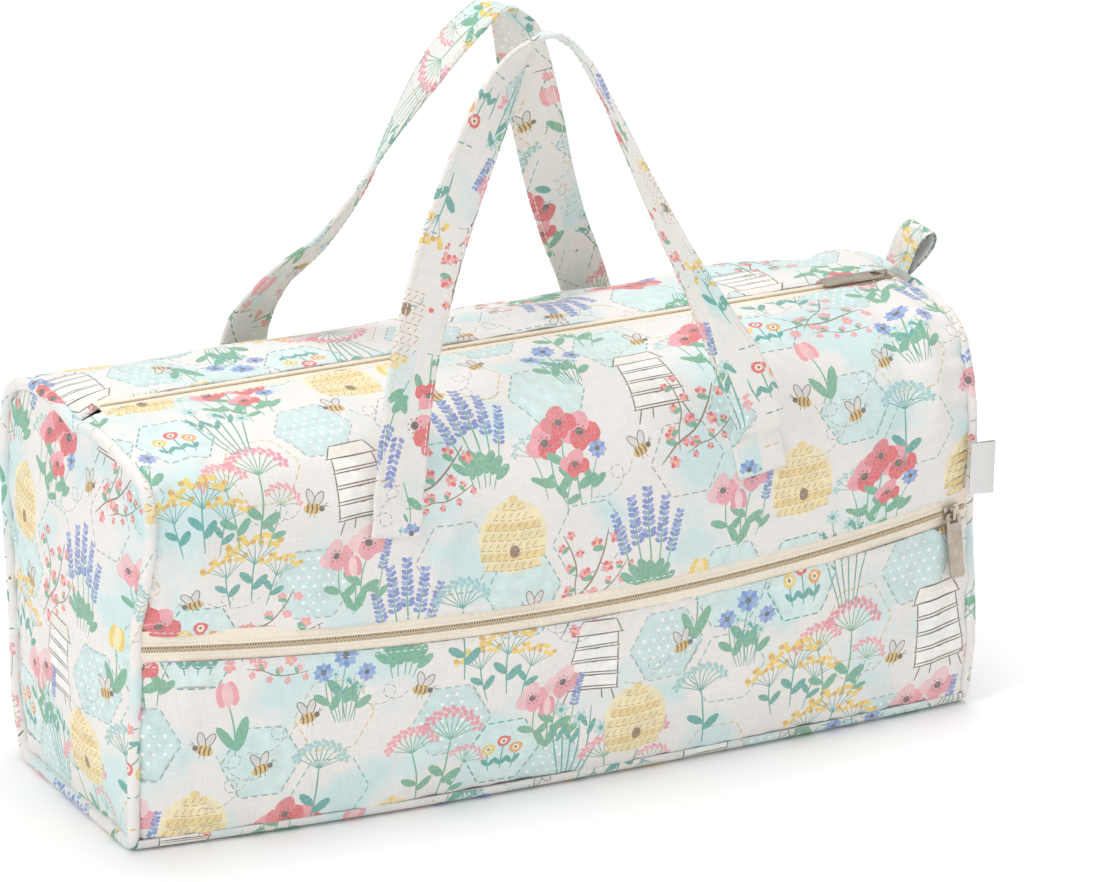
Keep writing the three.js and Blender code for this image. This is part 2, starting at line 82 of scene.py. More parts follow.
def make_camera():
    """A long lens looking at the bag from its front left and a little above."""
    azimuth, elevation, roll = [math.radians(angle) for angle in VIEW_ANGLES]
    back = Vector((
        math.sin(azimuth) * math.cos(elevation),
        -math.cos(azimuth) * math.cos(elevation),
        math.sin(elevation),
    ))
    level = Vector((0, 0, 1)).cross(back).normalized()
    up = back.cross(level)
    right = level * math.cos(roll) + up * math.sin(roll)
    above = up * math.cos(roll) - level * math.sin(roll)
    data = bpy.data.cameras.new("camera")
    data.lens = LENS
    data.sensor_width = FILM_WIDTH
    data.clip_end = 100
    camera = bpy.data.objects.new("camera", data)
    turn = Matrix((right, above, back)).transposed().to_4x4()
    camera.matrix_world = Matrix.Translation(Vector(VIEW_TARGET) * MM + back * VIEW_DISTANCE) @ turn
    scene.collection.objects.link(camera)
    scene.camera = camera


def add_area_light(name, place, size, power):
    data = bpy.data.lights.new(name, "AREA")
    data.shape = "DISK"
    data.size = size
    data.energy = power
    light = bpy.data.objects.new(name, data)
    light.location = place
    light.rotation_euler = (Vector(place) - Vector(LIGHT_AIM)).to_track_quat("Z", "Y").to_euler()
    scene.collection.objects.link(light)


def make_studio():
    scene.view_settings.view_transform = "Standard"
    world = bpy.data.worlds.new("studio")
    world.use_nodes = True
    background = world.node_tree.nodes["Background"]
    background.inputs["Color"].default_value = (1, 1, 1, 1)
    background.inputs["Strength"].default_value = SKY_STRENGTH
    scene.world = world
    for light in LIGHTS:
        add_area_light(*light)
    corners = [(x * FLOOR_HALF, y * FLOOR_HALF, 0) for x, y in ((-1, -1), (1, -1), (1, 1), (-1, 1))]
    data = bpy.data.meshes.new("floor")
    data.from_pydata(corners, [], [(0, 1, 2, 3)])
    floor = bpy.data.objects.new("floor", data)
    scene.collection.objects.link(floor)
    data.materials.append(plain_material("floor_paper", (FLOOR_GREY,) * 3, 0.9))


# ------------------------------------------------------------------ materials


class Nodes:
    """A short way to build a material's node tree."""

    def __init__(self, name):
        self.material = bpy.data.materials.new(name)
        self.material.use_nodes = True
        self.tree = self.material.node_tree
        self.shader = self.tree.nodes["Principled BSDF"]

    def add(self, kind, inputs=None, **settings):
        node = self.tree.nodes.new("ShaderNode" + kind)
        for key, value in settings.items():
            setattr(node, key, value)
        for key, value in (inputs or {}).items():
            self.feed(node.inputs[key], value)
        return node

    def feed(self, socket, value):
        if isinstance(value, bpy.types.NodeSocket):
            self.tree.links.new(value, socket)
        else:
            socket.default_value = value

    def maths(self, operation, a, b):
        return self.add("Math", {0: a, 1: b}, operation=operation).outputs[0]

    def mix(self, factor, a, b, blend="MIX"):
        node = self.add("Mix", data_type="RGBA", blend_type=blend)
        self.feed(node.inputs["Factor"], factor)
        self.feed(node.inputs["A"], a)
        self.feed(node.inputs["B"], b)
        return node.outputs["Result"]

    def noise(self, vector, scale, detail=2.0, roughness=0.5):
        inputs = {"Vector": vector, "Scale": scale, "Detail": detail, "Roughness": roughness}
        return self.add("TexNoise", inputs).outputs["Fac"]

    def stretched(self, vector, scale):
        return self.add("Mapping", {"Vector": vector, "Scale": scale}).outputs["Vector"]

    def range(self, value, low, high, to_low=0.0, to_high=1.0):
        node = self.add("MapRange", {"Value": value})
        keys = ("From Min", "From Max", "To Min", "To Max")
        for key, number in zip(keys, (low, high, to_low, to_high)):
            node.inputs[key].default_value = number
        return node.outputs["Result"]

    def shaded(self, colour, shade):
        """A colour made lighter or darker by a grey amount."""
        grey = self.add("CombineColor", {0: shade, 1: shade, 2: shade}).outputs[0]
        return self.mix(1.0, colour, grey, "MULTIPLY")

    def bump(self, height, distance, strength, normal=None):
        node = self.add("Bump", {"Height": height, "Strength": strength, "Distance": distance})
        if normal is not None:
            self.feed(node.inputs["Normal"], normal)
        return node.outputs["Normal"]

    def finish(self, values):
        """Feeds the shader's inputs and gives back the material."""
        for key, value in values.items():
            self.feed(self.shader.inputs[key], value)
        return self.material


def linear(hex_colour):
    """A display colour such as "e6e2dd" as linear light."""
    parts = [int(hex_colour[i:i + 2], 16) / 255 for i in (0, 2, 4)]
    return tuple(c / 12.92 if c <= 0.04045 else ((c + 0.055) / 1.055) ** 2.4 for c in parts) + (1.0,)


def plain_material(name, colour, roughness):
    return Nodes(name).finish({"Base Color": (*colour, 1), "Roughness": roughness})


def printed_cloth(name, ground="e9e5e1", wash_amount=(0.50, 0.62)):
    """Printed linen-look cotton. The Print attribute holds the ink's colour, and its alpha where ink is."""
    n = Nodes(name)
    uv = n.add("UVMap", uv_map="Cloth").outputs["UV"]
    ink = n.add("Attribute", attribute_name="Print")
    blotch = n.range(n.noise(uv, 0.21, 3.0, 0.45), *wash_amount)
    ground_colour = n.mix(blotch, linear(ground), linear("cfe3e3"))
    pool = n.range(n.noise(uv, 1.6, 2.0), 0.3, 0.7, 0.90, 1.06)
    ink_colour = n.shaded(ink.outputs["Color"], pool)
    coverage = n.range(n.noise(uv, 7.0, 2.0), 0.25, 0.65, 0.68, 0.88)
    colour = n.mix(n.maths("MULTIPLY", ink.outputs["Alpha"], coverage), ground_colour, ink_colour)
    weft = n.noise(n.stretched(uv, (1.0, 16.0, 1.0)), 1.0, 3.0, 0.62)
    warp = n.noise(n.stretched(uv, (16.0, 1.0, 1.0)), 1.0, 3.0, 0.62)
    threads = n.maths("ADD", weft, warp)
    height = n.maths("ADD", threads, n.maths("MULTIPLY", n.noise(uv, 24.0, 1.0), 0.7))
    rumple = n.bump(n.noise(uv, 0.75, 2.0, 0.55), 1.6 * MM, 0.35)
    return n.finish({
        "Base Color": n.shaded(colour, n.range(threads, 0.75, 1.25, 0.93, 1.035)),
        "Roughness": n.range(threads, 0.7, 1.3, 0.78, 0.92),
        "Sheen Weight": 0.12,
        "Sheen Roughness": 0.5,
        "Specular IOR Level": 0.25,
        "Normal": n.bump(height, 0.16 * MM, 0.55, rumple),
    })


def woven(name, colour, thread_scale, roughness=0.8, sheen=0.1):
    """Plain dyed cloth or tape with fine threads along u."""
    n = Nodes(name)
    uv = n.add("UVMap", uv_map="Cloth").outputs["UV"]
    along, across = thread_scale
    rib = n.noise(n.stretched(uv, (along, across, 1.0)), 1.0, 2.0)
    cross = n.noise(n.stretched(uv, (across, along, 1.0)), 1.0, 2.0)
    threads = n.maths("ADD", rib, cross)
    return n.finish({
        "Base Color": n.shaded(linear(colour), n.range(threads, 0.7, 1.3, 0.88, 1.06)),
        "Roughness": roughness,
        "Sheen Weight": sheen,
        "Normal": n.bump(threads, 0.2 * MM, 0.5),
    })


def nylon(name, colour):
    """The smooth plastic of a zip's coil."""
    n = Nodes(name)
    place = n.add("TexCoord").outputs["Object"]
    return n.finish({
        "Base Color": n.shaded(linear(colour), n.range(n.noise(place, 900.0, 2.0), 0.3, 0.7, 0.86, 1.06)),
        "Roughness": 0.38,
        "Normal": n.bump(n.noise(place, 2500.0, 1.0), 0.05 * MM, 0.3),
    })


def satin_metal(name, colour, rubbed):
    """Warm nickel with fine brushing and darker rubbed-in patches."""
    n = Nodes(name)
    place = n.add("TexCoord").outputs["Object"]
    brushed = n.noise(n.stretched(place, (90.0, 1600.0, 1600.0)), 1.0, 3.0)
    worn = n.range(n.noise(place, 140.0, 2.0), 0.35, 0.7)
    return n.finish({
        "Base Color": n.mix(worn, linear(colour), linear(rubbed)),
        "Metallic": 1.0,
        "Roughness": n.range(brushed, 0.3, 0.7, 0.26, 0.44),
        "Normal": n.bump(brushed, 0.03 * MM, 0.35),
    })


def thread_material(name, colour):
    n = Nodes(name)
    place = n.add("TexCoord").outputs["Object"]
    return n.finish({
        "Base Color": linear(colour),
        "Roughness": 0.7,
        "Normal": n.bump(n.noise(place, 3000.0, 1.0), 0.1 * MM, 0.4),
    })


# ------------------------------------------------------------------ the bag's cross-section

HALF = 220.0
SEAM_Z = 7.0
TOP_Z = 200.0
END_SHARPNESS = 2.2
HEM_EDGE = 6.4
TAPE_EDGE = 9.0
CLOTH_T = 1.3

FRONT_LOW = {
    "left": [(-67, SEAM_Z), (-67.5, 45)],
    "middle": [(-79, SEAM_Z), (-87, 42)],
    "right": [(-72, SEAM_Z), (-76.5, 40)],
}
FRONT_HIGH = {
    "left": [(-79, 134), (-87.5, 168), (-81, 188.5), (-62, 195), (-12, TOP_Z)],
    "middle": [(-90, 130), (-84, 166), (-68, 188), (-42, 198), (-12, TOP_Z)],
    "right": [(-73, 132), (-69, 166), (-56, 191), (-36, 198), (-12, TOP_Z)],
}
BACK = {
    "left": [(12, TOP_Z), (56, 196), (76, 186), (84, 160), (81, 115), (75, 68), (72, 28), (64, SEAM_Z)],
    "middle": [(12, TOP_Z), (45, 198), (70, 188), (86, 163), (91, 120), (91, 75), (86, 35), (77, SEAM_Z)],
    "right": [(12, TOP_Z), (36, 198), (56, 191), (70, 163), (75, 120), (79, 75), (79, 35), (73, SEAM_Z)],
}


def profile_at(x, profile):
    """The middle section's points, turning into an end section's points towards that end."""
    share = min(1.0, abs(x) / HALF) ** END_SHARPNESS
    end = np.array(profile["left" if x < 0 else "right"], float)
    middle = np.array(profile["middle"], float)
    yz = middle + (end - middle) * share
    return np.column_stack([np.full(len(yz), x), yz])


def dense_spline(points, per_piece=24):
    """A smooth curve through points (centripetal Catmull-Rom), with per_piece steps between each two."""
    p = np.asarray(points, float)
    p = np.vstack([2 * p[0] - p[1], p, 2 * p[-1] - p[-2]])
    t = np.arange(per_piece)[:, None] / per_piece
    pieces = []
    for i in range(1, len(p) - 2):
        gaps = [max(np.linalg.norm(p[i + k] - p[i + k - 1]) ** 0.5, 1e-6) for k in range(3)]
        step = p[i + 1] - p[i]
        leave = (p[i] - p[i - 1]) / gaps[0] - (p[i + 1] - p[i - 1]) / (gaps[0] + gaps[1]) + step / gaps[1]
        arrive = step / gaps[1] - (p[i + 2] - p[i]) / (gaps[1] + gaps[2]) + (p[i + 2] - p[i + 1]) / gaps[2]
        leave, arrive = leave * gaps[1], arrive * gaps[1]
        pieces.append(p[i] + leave * t + (3 * step - 2 * leave - arrive) * t**2
                      + (leave + arrive - 2 * step) * t**3)
    return np.vstack([*pieces, p[-2:-1]])


def unit(rows):
    return rows / np.maximum(np.linalg.norm(rows, axis=1), 1e-9)[:, None]


def distances(line):
    """How far along a line each of its points is."""
    return np.concatenate([[0], np.cumsum(np.linalg.norm(np.diff(line, axis=0), axis=1))])


def read_off(at, along, rows):
    """Rows of numbers, known at distances along a line, read off at other distances."""
    return np.column_stack([np.interp(at, along, rows[:, k]) for k in range(rows.shape[1])])


def resample(line, count, start=0.0, stop=None):
    """count equally spaced points of a polyline, from one distance along it to another."""
    along = distances(line)
    return read_off(np.linspace(start, along[-1] if stop is None else stop, count), along, line)


def length_of(line):
    return float(np.linalg.norm(np.diff(line, axis=0), axis=1).sum())


# ------------------------------------------------------------------ the two zips


class Zip:
    """A zip's own axes: along the teeth, across them and out of the bag, at distances along it."""

    def __init__(self, middle, across, out, centre=None, axis=None):
        self.middle = np.array(middle, float)
        self.axes = np.array([(1, 0, 0), across, out], float)
        self.centre = None if centre is None else np.array(centre, float)
        self.axis = None if axis is None else np.array(axis, float)
        if centre is not None:
            arm = self.middle - self.centre
            self.radius = float(np.linalg.norm(arm - (arm @ self.axis) * self.axis))

    def turned(self, vector, angle):
        c, s = np.cos(angle)[:, None], np.sin(angle)[:, None]
        return vector * c + np.cross(self.axis, vector) * s + self.axis * (self.axis @ vector) * (1 - c)

    def frames(self, s):
        """Points and the three axes at distances s."""
        s = np.atleast_1d(np.asarray(s, float))
        if self.centre is None:
            points = self.middle + s[:, None] * self.axes[0]
            return points, *[np.repeat(axis[None], len(s), 0) for axis in self.axes]
        angle = s / self.radius
        points = self.centre + self.turned(self.middle - self.centre, angle)
        return points, *[self.turned(axis, angle) for axis in self.axes]

    def place(self, s, across, out):
        points, _, c, n = self.frames(s)
        return points + c * np.asarray(across)[..., None] + n * np.asarray(out)[..., None]

    def arc_at(self, x):
        return x if self.centre is None else self.radius * math.asin(x / self.radius)


front_joint = JOINTS["front_zip_slide"]
top_zip = Zip((0, 0, TOP_Z), (0, 1, 0), (0, 0, 1))
front_zip = Zip((0, -91, 95.5), (0, 0, 1), (0, -1, 0), np.array(front_joint["pos_m"]) / MM,
                -np.array(front_joint["axis"]) / np.linalg.norm(front_joint["axis"]))

# ------------------------------------------------------------------ surfaces


class Surface:
    """A smooth patch kept as a grid of points over (u, v), with fine relief added along its normal."""

    def __init__(self, us, vs, grid, relief=None, sign=1.0):
        self.us, self.vs, self.grid = np.asarray(us, float), np.asarray(vs, float), grid
        self.relief = relief
        self.sign = sign

    @staticmethod
    def weights(t):
        t2, t3 = t * t, t * t * t
        return np.stack([-0.5 * t3 + t2 - 0.5 * t, 1.5 * t3 - 2.5 * t2 + 1,
                         -1.5 * t3 + 2 * t2 + 0.5 * t, 0.5 * t3 - 0.5 * t2], -1)

    def base(self, uv):
        nu, nv = len(self.us), len(self.vs)
        a = (uv[:, 0] - self.us[0]) / (self.us[-1] - self.us[0]) * (nu - 1)
        b = (uv[:, 1] - self.vs[0]) / (self.vs[-1] - self.vs[0]) * (nv - 1)
        i = np.clip(np.floor(a).astype(int), 0, nu - 2)
        j = np.clip(np.floor(b).astype(int), 0, nv - 2)
        wa, wb = self.weights(a - i), self.weights(b - j)
        result = np.zeros((len(uv), 3))
        for p in range(4):
            for q in range(4):
                row = np.clip(i + p - 1, 0, nu - 1)
                column = np.clip(j + q - 1, 0, nv - 1)
                result += (wa[:, p] * wb[:, q])[:, None] * self.grid[row, column]
        return result

    def normals_of(self, place, uv, step):
        du = place(uv + (step, 0)) - place(uv - (step, 0))
        dv = place(uv + (0, step)) - place(uv - (0, step))
        return unit(np.cross(du, dv) * self.sign)

    def place(self, uv):
        uv = np.asarray(uv, float)
        points = self.base(uv)
        if self.relief is None:
            return points
        return points + self.normals_of(self.base, uv, 1.5) * self.relief(uv[:, 0], uv[:, 1])[:, None]

    def normals(self, uv):
        return self.normals_of(self.place, np.asarray(uv, float), 0.35)


# ------------------------------------------------------------------ mesh helpers


def new_object(name, points, faces, material, body, replaces=()):
    """A piece of the object from points in millimetres, riding on a CAD body."""
    data = bpy.data.meshes.new(name)
    data.from_pydata((np.asarray(points) * MM).tolist(), [], faces)
    data.materials.append(material)
    data.shade_smooth()
    piece = bpy.data.objects.new(name, data)
    scene.collection.objects.link(piece)
    if body:
        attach(piece, body)
    if replaces:
        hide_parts(*replaces)
    return piece


def set_uv(data, uv_mm):
    """The cloth's own coordinates, in centimetres, from one pair per vertex."""
    layer = data.uv_layers.new(name="Cloth")
    index = np.empty(len(data.loops), int)
    data.loops.foreach_get("vertex_index", index)
    layer.data.foreach_set("uv", (np.asarray(uv_mm)[index] / 10).astype(np.float32).ravel())


def copies(template, faces, origins, along, across, out):
    """One mesh made of a template repeated in many places, each with its own three axes."""
    template = np.asarray(template, float)
    points = (origins[:, None] + template[None, :, 0:1] * along[:, None]
              + template[None, :, 1:2] * across[:, None] + template[None, :, 2:3] * out[:, None])
    size = len(template)
    all_faces = [[v + k * size for v in face] for k in range(len(origins)) for face in faces]
    return points.reshape(-1, 3), all_faces


def tube_template(path, radii, sides=6):
    """A closed tube along a path in a plane, with a radius at each point."""
    tangent = unit(np.gradient(path, axis=0))
    side = np.array([0.0, 1.0, 0.0])
    points, faces = [], []
    for k, (centre, t, r) in enumerate(zip(path, tangent, radii)):
        up = np.cross(t, side)
        for i in range(sides):
            turn = 2 * math.pi * i / sides
            points.append(centre + (side * math.cos(turn) + up * math.sin(turn)) * r)
    rings = len(path)
    for k in range(rings - 1):
        for i in range(sides):
            j = (i + 1) % sides
            faces.append([k * sides + i, k * sides + j, (k + 1) * sides + j, (k + 1) * sides + i])
    faces.append(list(range(sides))[::-1])
    faces.append([(rings - 1) * sides + i for i in range(sides)])
    return np.array(points), faces


STITCH = 2.7
STITCH_PITCH = 3.5
STITCH_INSET = 2.2


def stitch_template():
    """One stitch of thread, lying along u and diving into the cloth at both ends."""
    x = np.linspace(-STITCH / 2, STITCH / 2, 6)
    rise = 0.30 * np.cos(x / STITCH * math.pi) - 0.12
    return tube_template(np.column_stack([x, np.zeros(6), rise]), [0.12, 0.24, 0.28, 0.28, 0.24, 0.12])


def stitch_lines(surface, lines):
    """Stitches along lines of (u, v) points on a surface: origins and the three axes of each."""
    origins, along, across, out = [], [], [], []
    for line in lines:
        steps = distances(surface.place(line))
        count = max(2, int(steps[-1] / STITCH_PITCH))
        at = (np.arange(count) + 0.5) / count * steps[-1]
        uv, ahead, behind = [read_off(at + d, steps, line) for d in (0, 0.8, -0.8)]
        n = surface.normals(uv)
        t = surface.place(ahead) - surface.place(behind)
        t = unit(t - n * (t * n).sum(1)[:, None])
        origins.append(surface.place(uv))
        along.append(t)
        across.append(np.cross(n, t))
        out.append(n)
    return [np.vstack(part) for part in (origins, along, across, out)]


def add_stitches(name, surface, lines, material, body, facing=1.0, lift=0.0):
    """One piece of sewing thread along lines on a surface; facing -1 sews its other side."""
    origins, along, across, out = stitch_lines(surface, lines)
    out = out * facing
    points, faces = copies(*stitch_template(), origins + out * lift, along, across, out)
    return new_object(name, points, faces, material, body)


def straight(start, stop, step=4.0):
    start, stop = np.array(start, float), np.array(stop, float)
    count = max(2, int(np.linalg.norm(stop - start) / step) + 1)
    return start + (stop - start) * np.linspace(0, 1, count)[:, None]


# ------------------------------------------------------------------ the print: shapes drawn as polygons

TEAL, PALE_TEAL, GREY = "4aa196", "b5d6d4", "9a9795"
BROWN, YELLOW, PALE_YELLOW = "8b6847", "f1cd58", "f2e3ab"
RED, PINK, LILAC, BLUE = "df545a", "ee9ba5", "6f86c6", "668ccd"
GREEN, DARK, WHITE = "67ab88", "5a5048", "fbfaf8"
HIVE_LINE = "6d5a48"


def blob(x, y, rx, ry, turn=0.0, corners=10, wobble=0.0, seed=0):
    """An ellipse with a slightly uneven, hand-painted edge."""
    chance = random.Random(seed)
    a = np.arange(corners) * 2 * math.pi / corners
    r = 1 + wobble * np.array([chance.uniform(-1, 1) for _ in range(corners)])
    px, py = rx * r * np.cos(a), ry * r * np.sin(a)
    c, s = math.cos(turn), math.sin(turn)
    return np.column_stack([x + px * c - py * s, y + px * s + py * c])


def stroke(points, width, taper=0.35):
    """A brush line through points, thinner at its ends."""
    p = np.asarray(points, float)
    t = unit(np.gradient(p, axis=0))
    side = np.column_stack([-t[:, 1], t[:, 0]])
    share = np.linspace(0, 1, len(p))
    half = width / 2 * (taper + (1 - taper) * np.sin(math.pi * share) ** 0.5)
    return np.vstack([p + side * half[:, None], (p - side * half[:, None])[::-1]])


def curve(points, steps=7):
    return dense_spline(np.column_stack([points, np.zeros(len(points))]), per_piece=steps)[:, :2]


def dashes(line, dash, gap, width):
    """Short strokes along a line."""
    total = length_of(line)
    count = max(1, int(total / (dash + gap)))
    pitch = total / count
    return [stroke(resample(line, 4, k * pitch + gap / 2, (k + 1) * pitch - gap / 2), width, 0.6)
            for k in range(count)]


def dashed(colour, line, dash, gap, width):
    return [(colour, d) for d in dashes(line, dash, gap, width)]


def hexagon_line(radius):
    a = np.arange(7) * math.pi / 3
    return np.column_stack([np.cos(a), np.sin(a)]) * radius


def hexagon(line_colour, fill=None, dots=False, radius=20.0):
    shapes = []
    if fill:
        shapes.append((fill, hexagon_line(radius * 0.97)[:-1]))
    if dots:
        for i in range(-3, 4):
            for j in range(-3, 4):
                x, y = i * 5.0 + (j % 2) * 2.5, j * 4.4
                if abs(y) + abs(x) * 0.62 < radius * 0.74:
                    shapes.append((WHITE, blob(x, y, 0.85, 0.85, corners=7)))
    outline = hexagon_line(radius)
    for k in range(6):
        shapes += dashed(line_colour, outline[k:k + 2], 3.1, 1.5, 0.85)
    return shapes


def skep():
    """A straw beehive: a dome of stacked rope coils with a little round door."""
    shapes = [("f3e6bd", blob(0, 1, 17.5, 18.5, corners=18, wobble=0.03, seed=4))]
    widths = [15.0, 16.8, 17.0, 16.0, 14.0, 10.8, 6.4]
    for k, half in enumerate(widths):
        y = k * 4.9 - 15.5
        rope = [(-half, y + 1.0), (-half * 0.4, y), (half * 0.4, y + 0.1), (half, y + 1.1),
                (half - 0.4, y + 4.4), (0, y + 3.9), (-half + 0.4, y + 4.4)]
        shapes.append((("f0dca2", "ecd08a", "f3e2ae")[k % 3], np.array(rope)))
        shapes += dashed("c79f55", curve([(-half, y + 0.9), (0, y), (half, y + 1.0)]), 2.6, 1.0, 0.55)
        for i in range(int(half / 1.9)):
            x = -half + 2.0 + i * 3.7
            if x < half - 1.2:
                straw = [(x - 0.9, y + 1.2), (x, y + 2.5), (x + 1.0, y + 3.9)]
                shapes.append(("b98a45", stroke(straw, 0.5)))
    shapes.append((BROWN, blob(1.0, -6.5, 2.6, 3.2, corners=10)))
    shapes.append(("ecd08a", blob(0, 19.4, 2.6, 1.8)))
    return shapes


def house_hive():
    """A wooden hive in line: tapering boxes with lids under a sloping roof, on legs."""
    shapes = [("f6f3ee", np.array([(-14, -17), (-11, 13), (11, 13), (14, -17)])),
              ("efe9df", np.array([(-13, 13), (-9, 20), (9, 20), (13, 13)]))]
    lines = [[(-13, 13), (-9, 20)], [(-9, 20), (9, 20)], [(9, 20), (13, 13)], [(-14, 13), (14, 13)]]
    for k in range(4):
        y, half = -17 + k * 7.5, 14 - k * 0.8
        lines += [[(-half - 1, y), (half + 1, y + 0.4)], [(-half, y), (-half + 0.8, y + 7.2)],
                  [(half, y), (half - 0.8, y + 7.2)], [(-half, y + 1.5), (half, y + 1.8)]]
    lines += [[(-11, -17), (-14, -24)], [(11, -17), (14, -24)], [(-5, -17), (-6, -22)], [(6, -17), (7, -22)]]
    shapes += [(HIVE_LINE, stroke(resample(np.array(line, float), 7), 0.75, 0.6)) for line in lines]
    shapes += [(HIVE_LINE, stroke([(-2.4, y), (0, y), (2.4, y)], 1.0)) for y in (5.5, -2.0, -9.5)]
    return shapes


def ring(x, y, rx, ry, turn, width=0.5):
    """A thin closed line, as short joined pieces."""
    line = blob(x, y, rx, ry, turn, 12)
    line = np.vstack([line, line[:2]])
    return [stroke(line[k:k + 4], width, 1.0) for k in range(0, 12, 3)]


def bee():
    loop = curve([(-6, -1), (-11, -6), (-18, -5), (-18, 0), (-13, -1), (-15, -8), (-24, -11), (-32, -8)])
    shapes = dashed(GREY, loop, 2.6, 1.0, 0.45)
    for x, turn, long in ((-1.4, 0.45, 4.4), (2.6, -0.5, 4.0)):
        shapes.append(("d9d5d0", blob(x, 4.9, 1.9, long, turn)))
        shapes += [("6b655f", piece) for piece in ring(x, 4.9, 1.9, long, turn)]
    shapes.append(("e2b650", blob(0, 0, 4.7, 2.6, 0.12, 12)))
    for x in (-2.8, -0.6, 1.7):
        shapes.append((DARK, stroke([(x, -2.2), (x + 0.4, 0), (x, 2.4)], 0.95, 0.7)))
    shapes.append((DARK, blob(4.5, 0.6, 1.5, 1.5, corners=8)))
    for end in ((7.6, 3.6), (8.3, 1.9), (-1.0, -4.6), (1.6, -4.6)):
        start = (4.9, 1.4) if end[1] > 0 else (end[0] * 0.7, -2.2)
        middle = ((start[0] + end[0]) / 2, (start[1] + end[1]) / 2 + 0.3)
        shapes.append((DARK, stroke([start, middle, end], 0.4)))
    return shapes


def stem(points, colour=GREEN, width=0.9):
    return (colour, stroke(curve(points), width, 0.5))


def leaf(x, y, length, turn, colour=GREEN, wide=0.22):
    c, s = math.cos(turn) * length / 2, math.sin(turn) * length / 2
    return (colour, blob(x + c, y + s, length / 2, length * wide, turn, 9))


def lavender(seed=1):
    chance = random.Random(seed)
    shapes = [stem([(0, -26), (1.2, -10), (0.4, 6), (1, 22)])]
    for k in range(9):
        y = 2 + k * 2.7
        for side in (-1, 1):
            reach = 2.7 - k * 0.17
            colour = LILAC if (k + side) % 3 else "93a2d6"
            middle = (0.6 + side * reach * 0.75, y + chance.uniform(-0.3, 0.5))
            shapes.append((colour, blob(*middle, 1.9, 1.15, side * 0.6, 7)))
    shapes += [leaf(0.9, -20, 12, 1.0), leaf(0.9, -17, 11, 2.2)]
    return shapes


def cornflower(colour=BLUE):
    shapes = [stem([(0, -24), (-1.6, -10), (0, 4)]), leaf(-1, -16, 13, 0.9), leaf(-1, -12, 12, 2.3)]
    for k in range(9):
        a = k * 2 * math.pi / 9
        x, y = 5.4 * math.cos(a), 9 + 5.4 * math.sin(a)
        petal = [(0, 9), (x * 0.8 - math.sin(a) * 2, 9 + (y - 9) * 0.8 + math.cos(a) * 2),
                 (x * 1.25, 9 + (y - 9) * 1.25),
                 (x * 0.8 + math.sin(a) * 2, 9 + (y - 9) * 0.8 - math.cos(a) * 2)]
        shapes.append((colour if k % 2 else "92aad6", np.array(petal)))
    shapes.append((DARK, blob(0, 9, 1.8, 1.8, corners=8)))
    return shapes


def umbel(colour=PINK, stalk=GREEN, heads=9):
    shapes = [stem([(0, -26), (0.8, -8), (0, 6)], stalk)]
    for k in range(heads):
        a = math.pi * (0.12 + 0.76 * k / (heads - 1))
        x, y = 13 * math.cos(a), 6 + 12 * math.sin(a)
        shapes.append(stem([(0, 5), (x * 0.55, 6 + (y - 6) * 0.5), (x, y)], stalk, 0.5))
        for i in range(4):
            b = a + i * 1.7
            shapes.append((colour, blob(x + 1.7 * math.cos(b), y + 1.7 * math.sin(b), 1.25, 1.1, b, 7)))
    shapes += [leaf(0.5, -18, 11, 0.7, stalk), leaf(0.5, -14, 10, 2.5, stalk)]
    return shapes


def yarrow():
    chance = random.Random(5)
    shapes = [stem([(0, -24), (-1, -8), (0, 4)], TEAL)]
    for k in range(7):
        x = (k - 3) * 4.2
        shapes.append(stem([(0, -2), (x * 0.6, 4), (x, 9 - abs(k - 3) * 0.8)], TEAL, 0.5))
    for k in range(26):
        x = chance.uniform(-14.5, 14.5)
        y = 11 - (x / 14) ** 2 * 3.6 + chance.uniform(-2.2, 2.6)
        shapes.append((YELLOW if k % 3 else "dba93f", blob(x, y, 1.7, 1.5, corners=7)))
    shapes += [leaf(-0.6, -16, 11, 0.8, TEAL), leaf(-0.6, -12, 10, 2.4, TEAL)]
    return shapes


def poppy(colour=RED, light=PINK):
    shapes = [stem([(1, -26), (-2, -12), (0, 2)]), leaf(-1.5, -18, 12, 0.6), leaf(-1.8, -14, 12, 2.6)]
    for k, (x, y, r) in enumerate([(-5.2, 8, 6.2), (5.2, 8.4, 6.2), (0, 13.4, 6.4), (0, 5.2, 6.0)]):
        shapes.append((light if k in (0, 2) else colour, blob(x, y, r, r * 0.86, 0.4 * k, 12, 0.07, k)))
    shapes.append((DARK, blob(0, 8.8, 2.2, 2.1, corners=9)))
    for k in range(8):
        a = k * math.pi / 4
        shapes.append((DARK, blob(3.5 * math.cos(a), 8.8 + 3.5 * math.sin(a), 0.5, 0.5, corners=5)))
    return shapes


def twig(colour=RED):
    line = curve([(-22, -12), (-10, -6), (2, -3), (13, 5), (22, 14)])
    shapes = [(BROWN, stroke(line, 1.0, 0.4))]
    for k, t in enumerate((0.12, 0.28, 0.42, 0.56, 0.7, 0.84, 0.97)):
        x, y = line[int(t * (len(line) - 1))]
        side = 1 if k % 2 else -1
        cx, cy = x - side * 2.2, y + side * 4.4
        shapes.append(stem([(x, y), (cx, cy)], BROWN, 0.5))
        for i in range(5):
            a = i * 2 * math.pi / 5 + k
            petal = blob(cx + 1.7 * math.cos(a), cy + 1.7 * math.sin(a), 1.6, 1.3, a, 7)
            shapes.append((colour if i % 2 else PINK, petal))
        shapes.append((YELLOW, blob(cx, cy, 0.8, 0.8, corners=6)))
        if k % 2:
            shapes.append(leaf(x, y, 6.5, 2.6 * side, GREEN, 0.25))
    return shapes


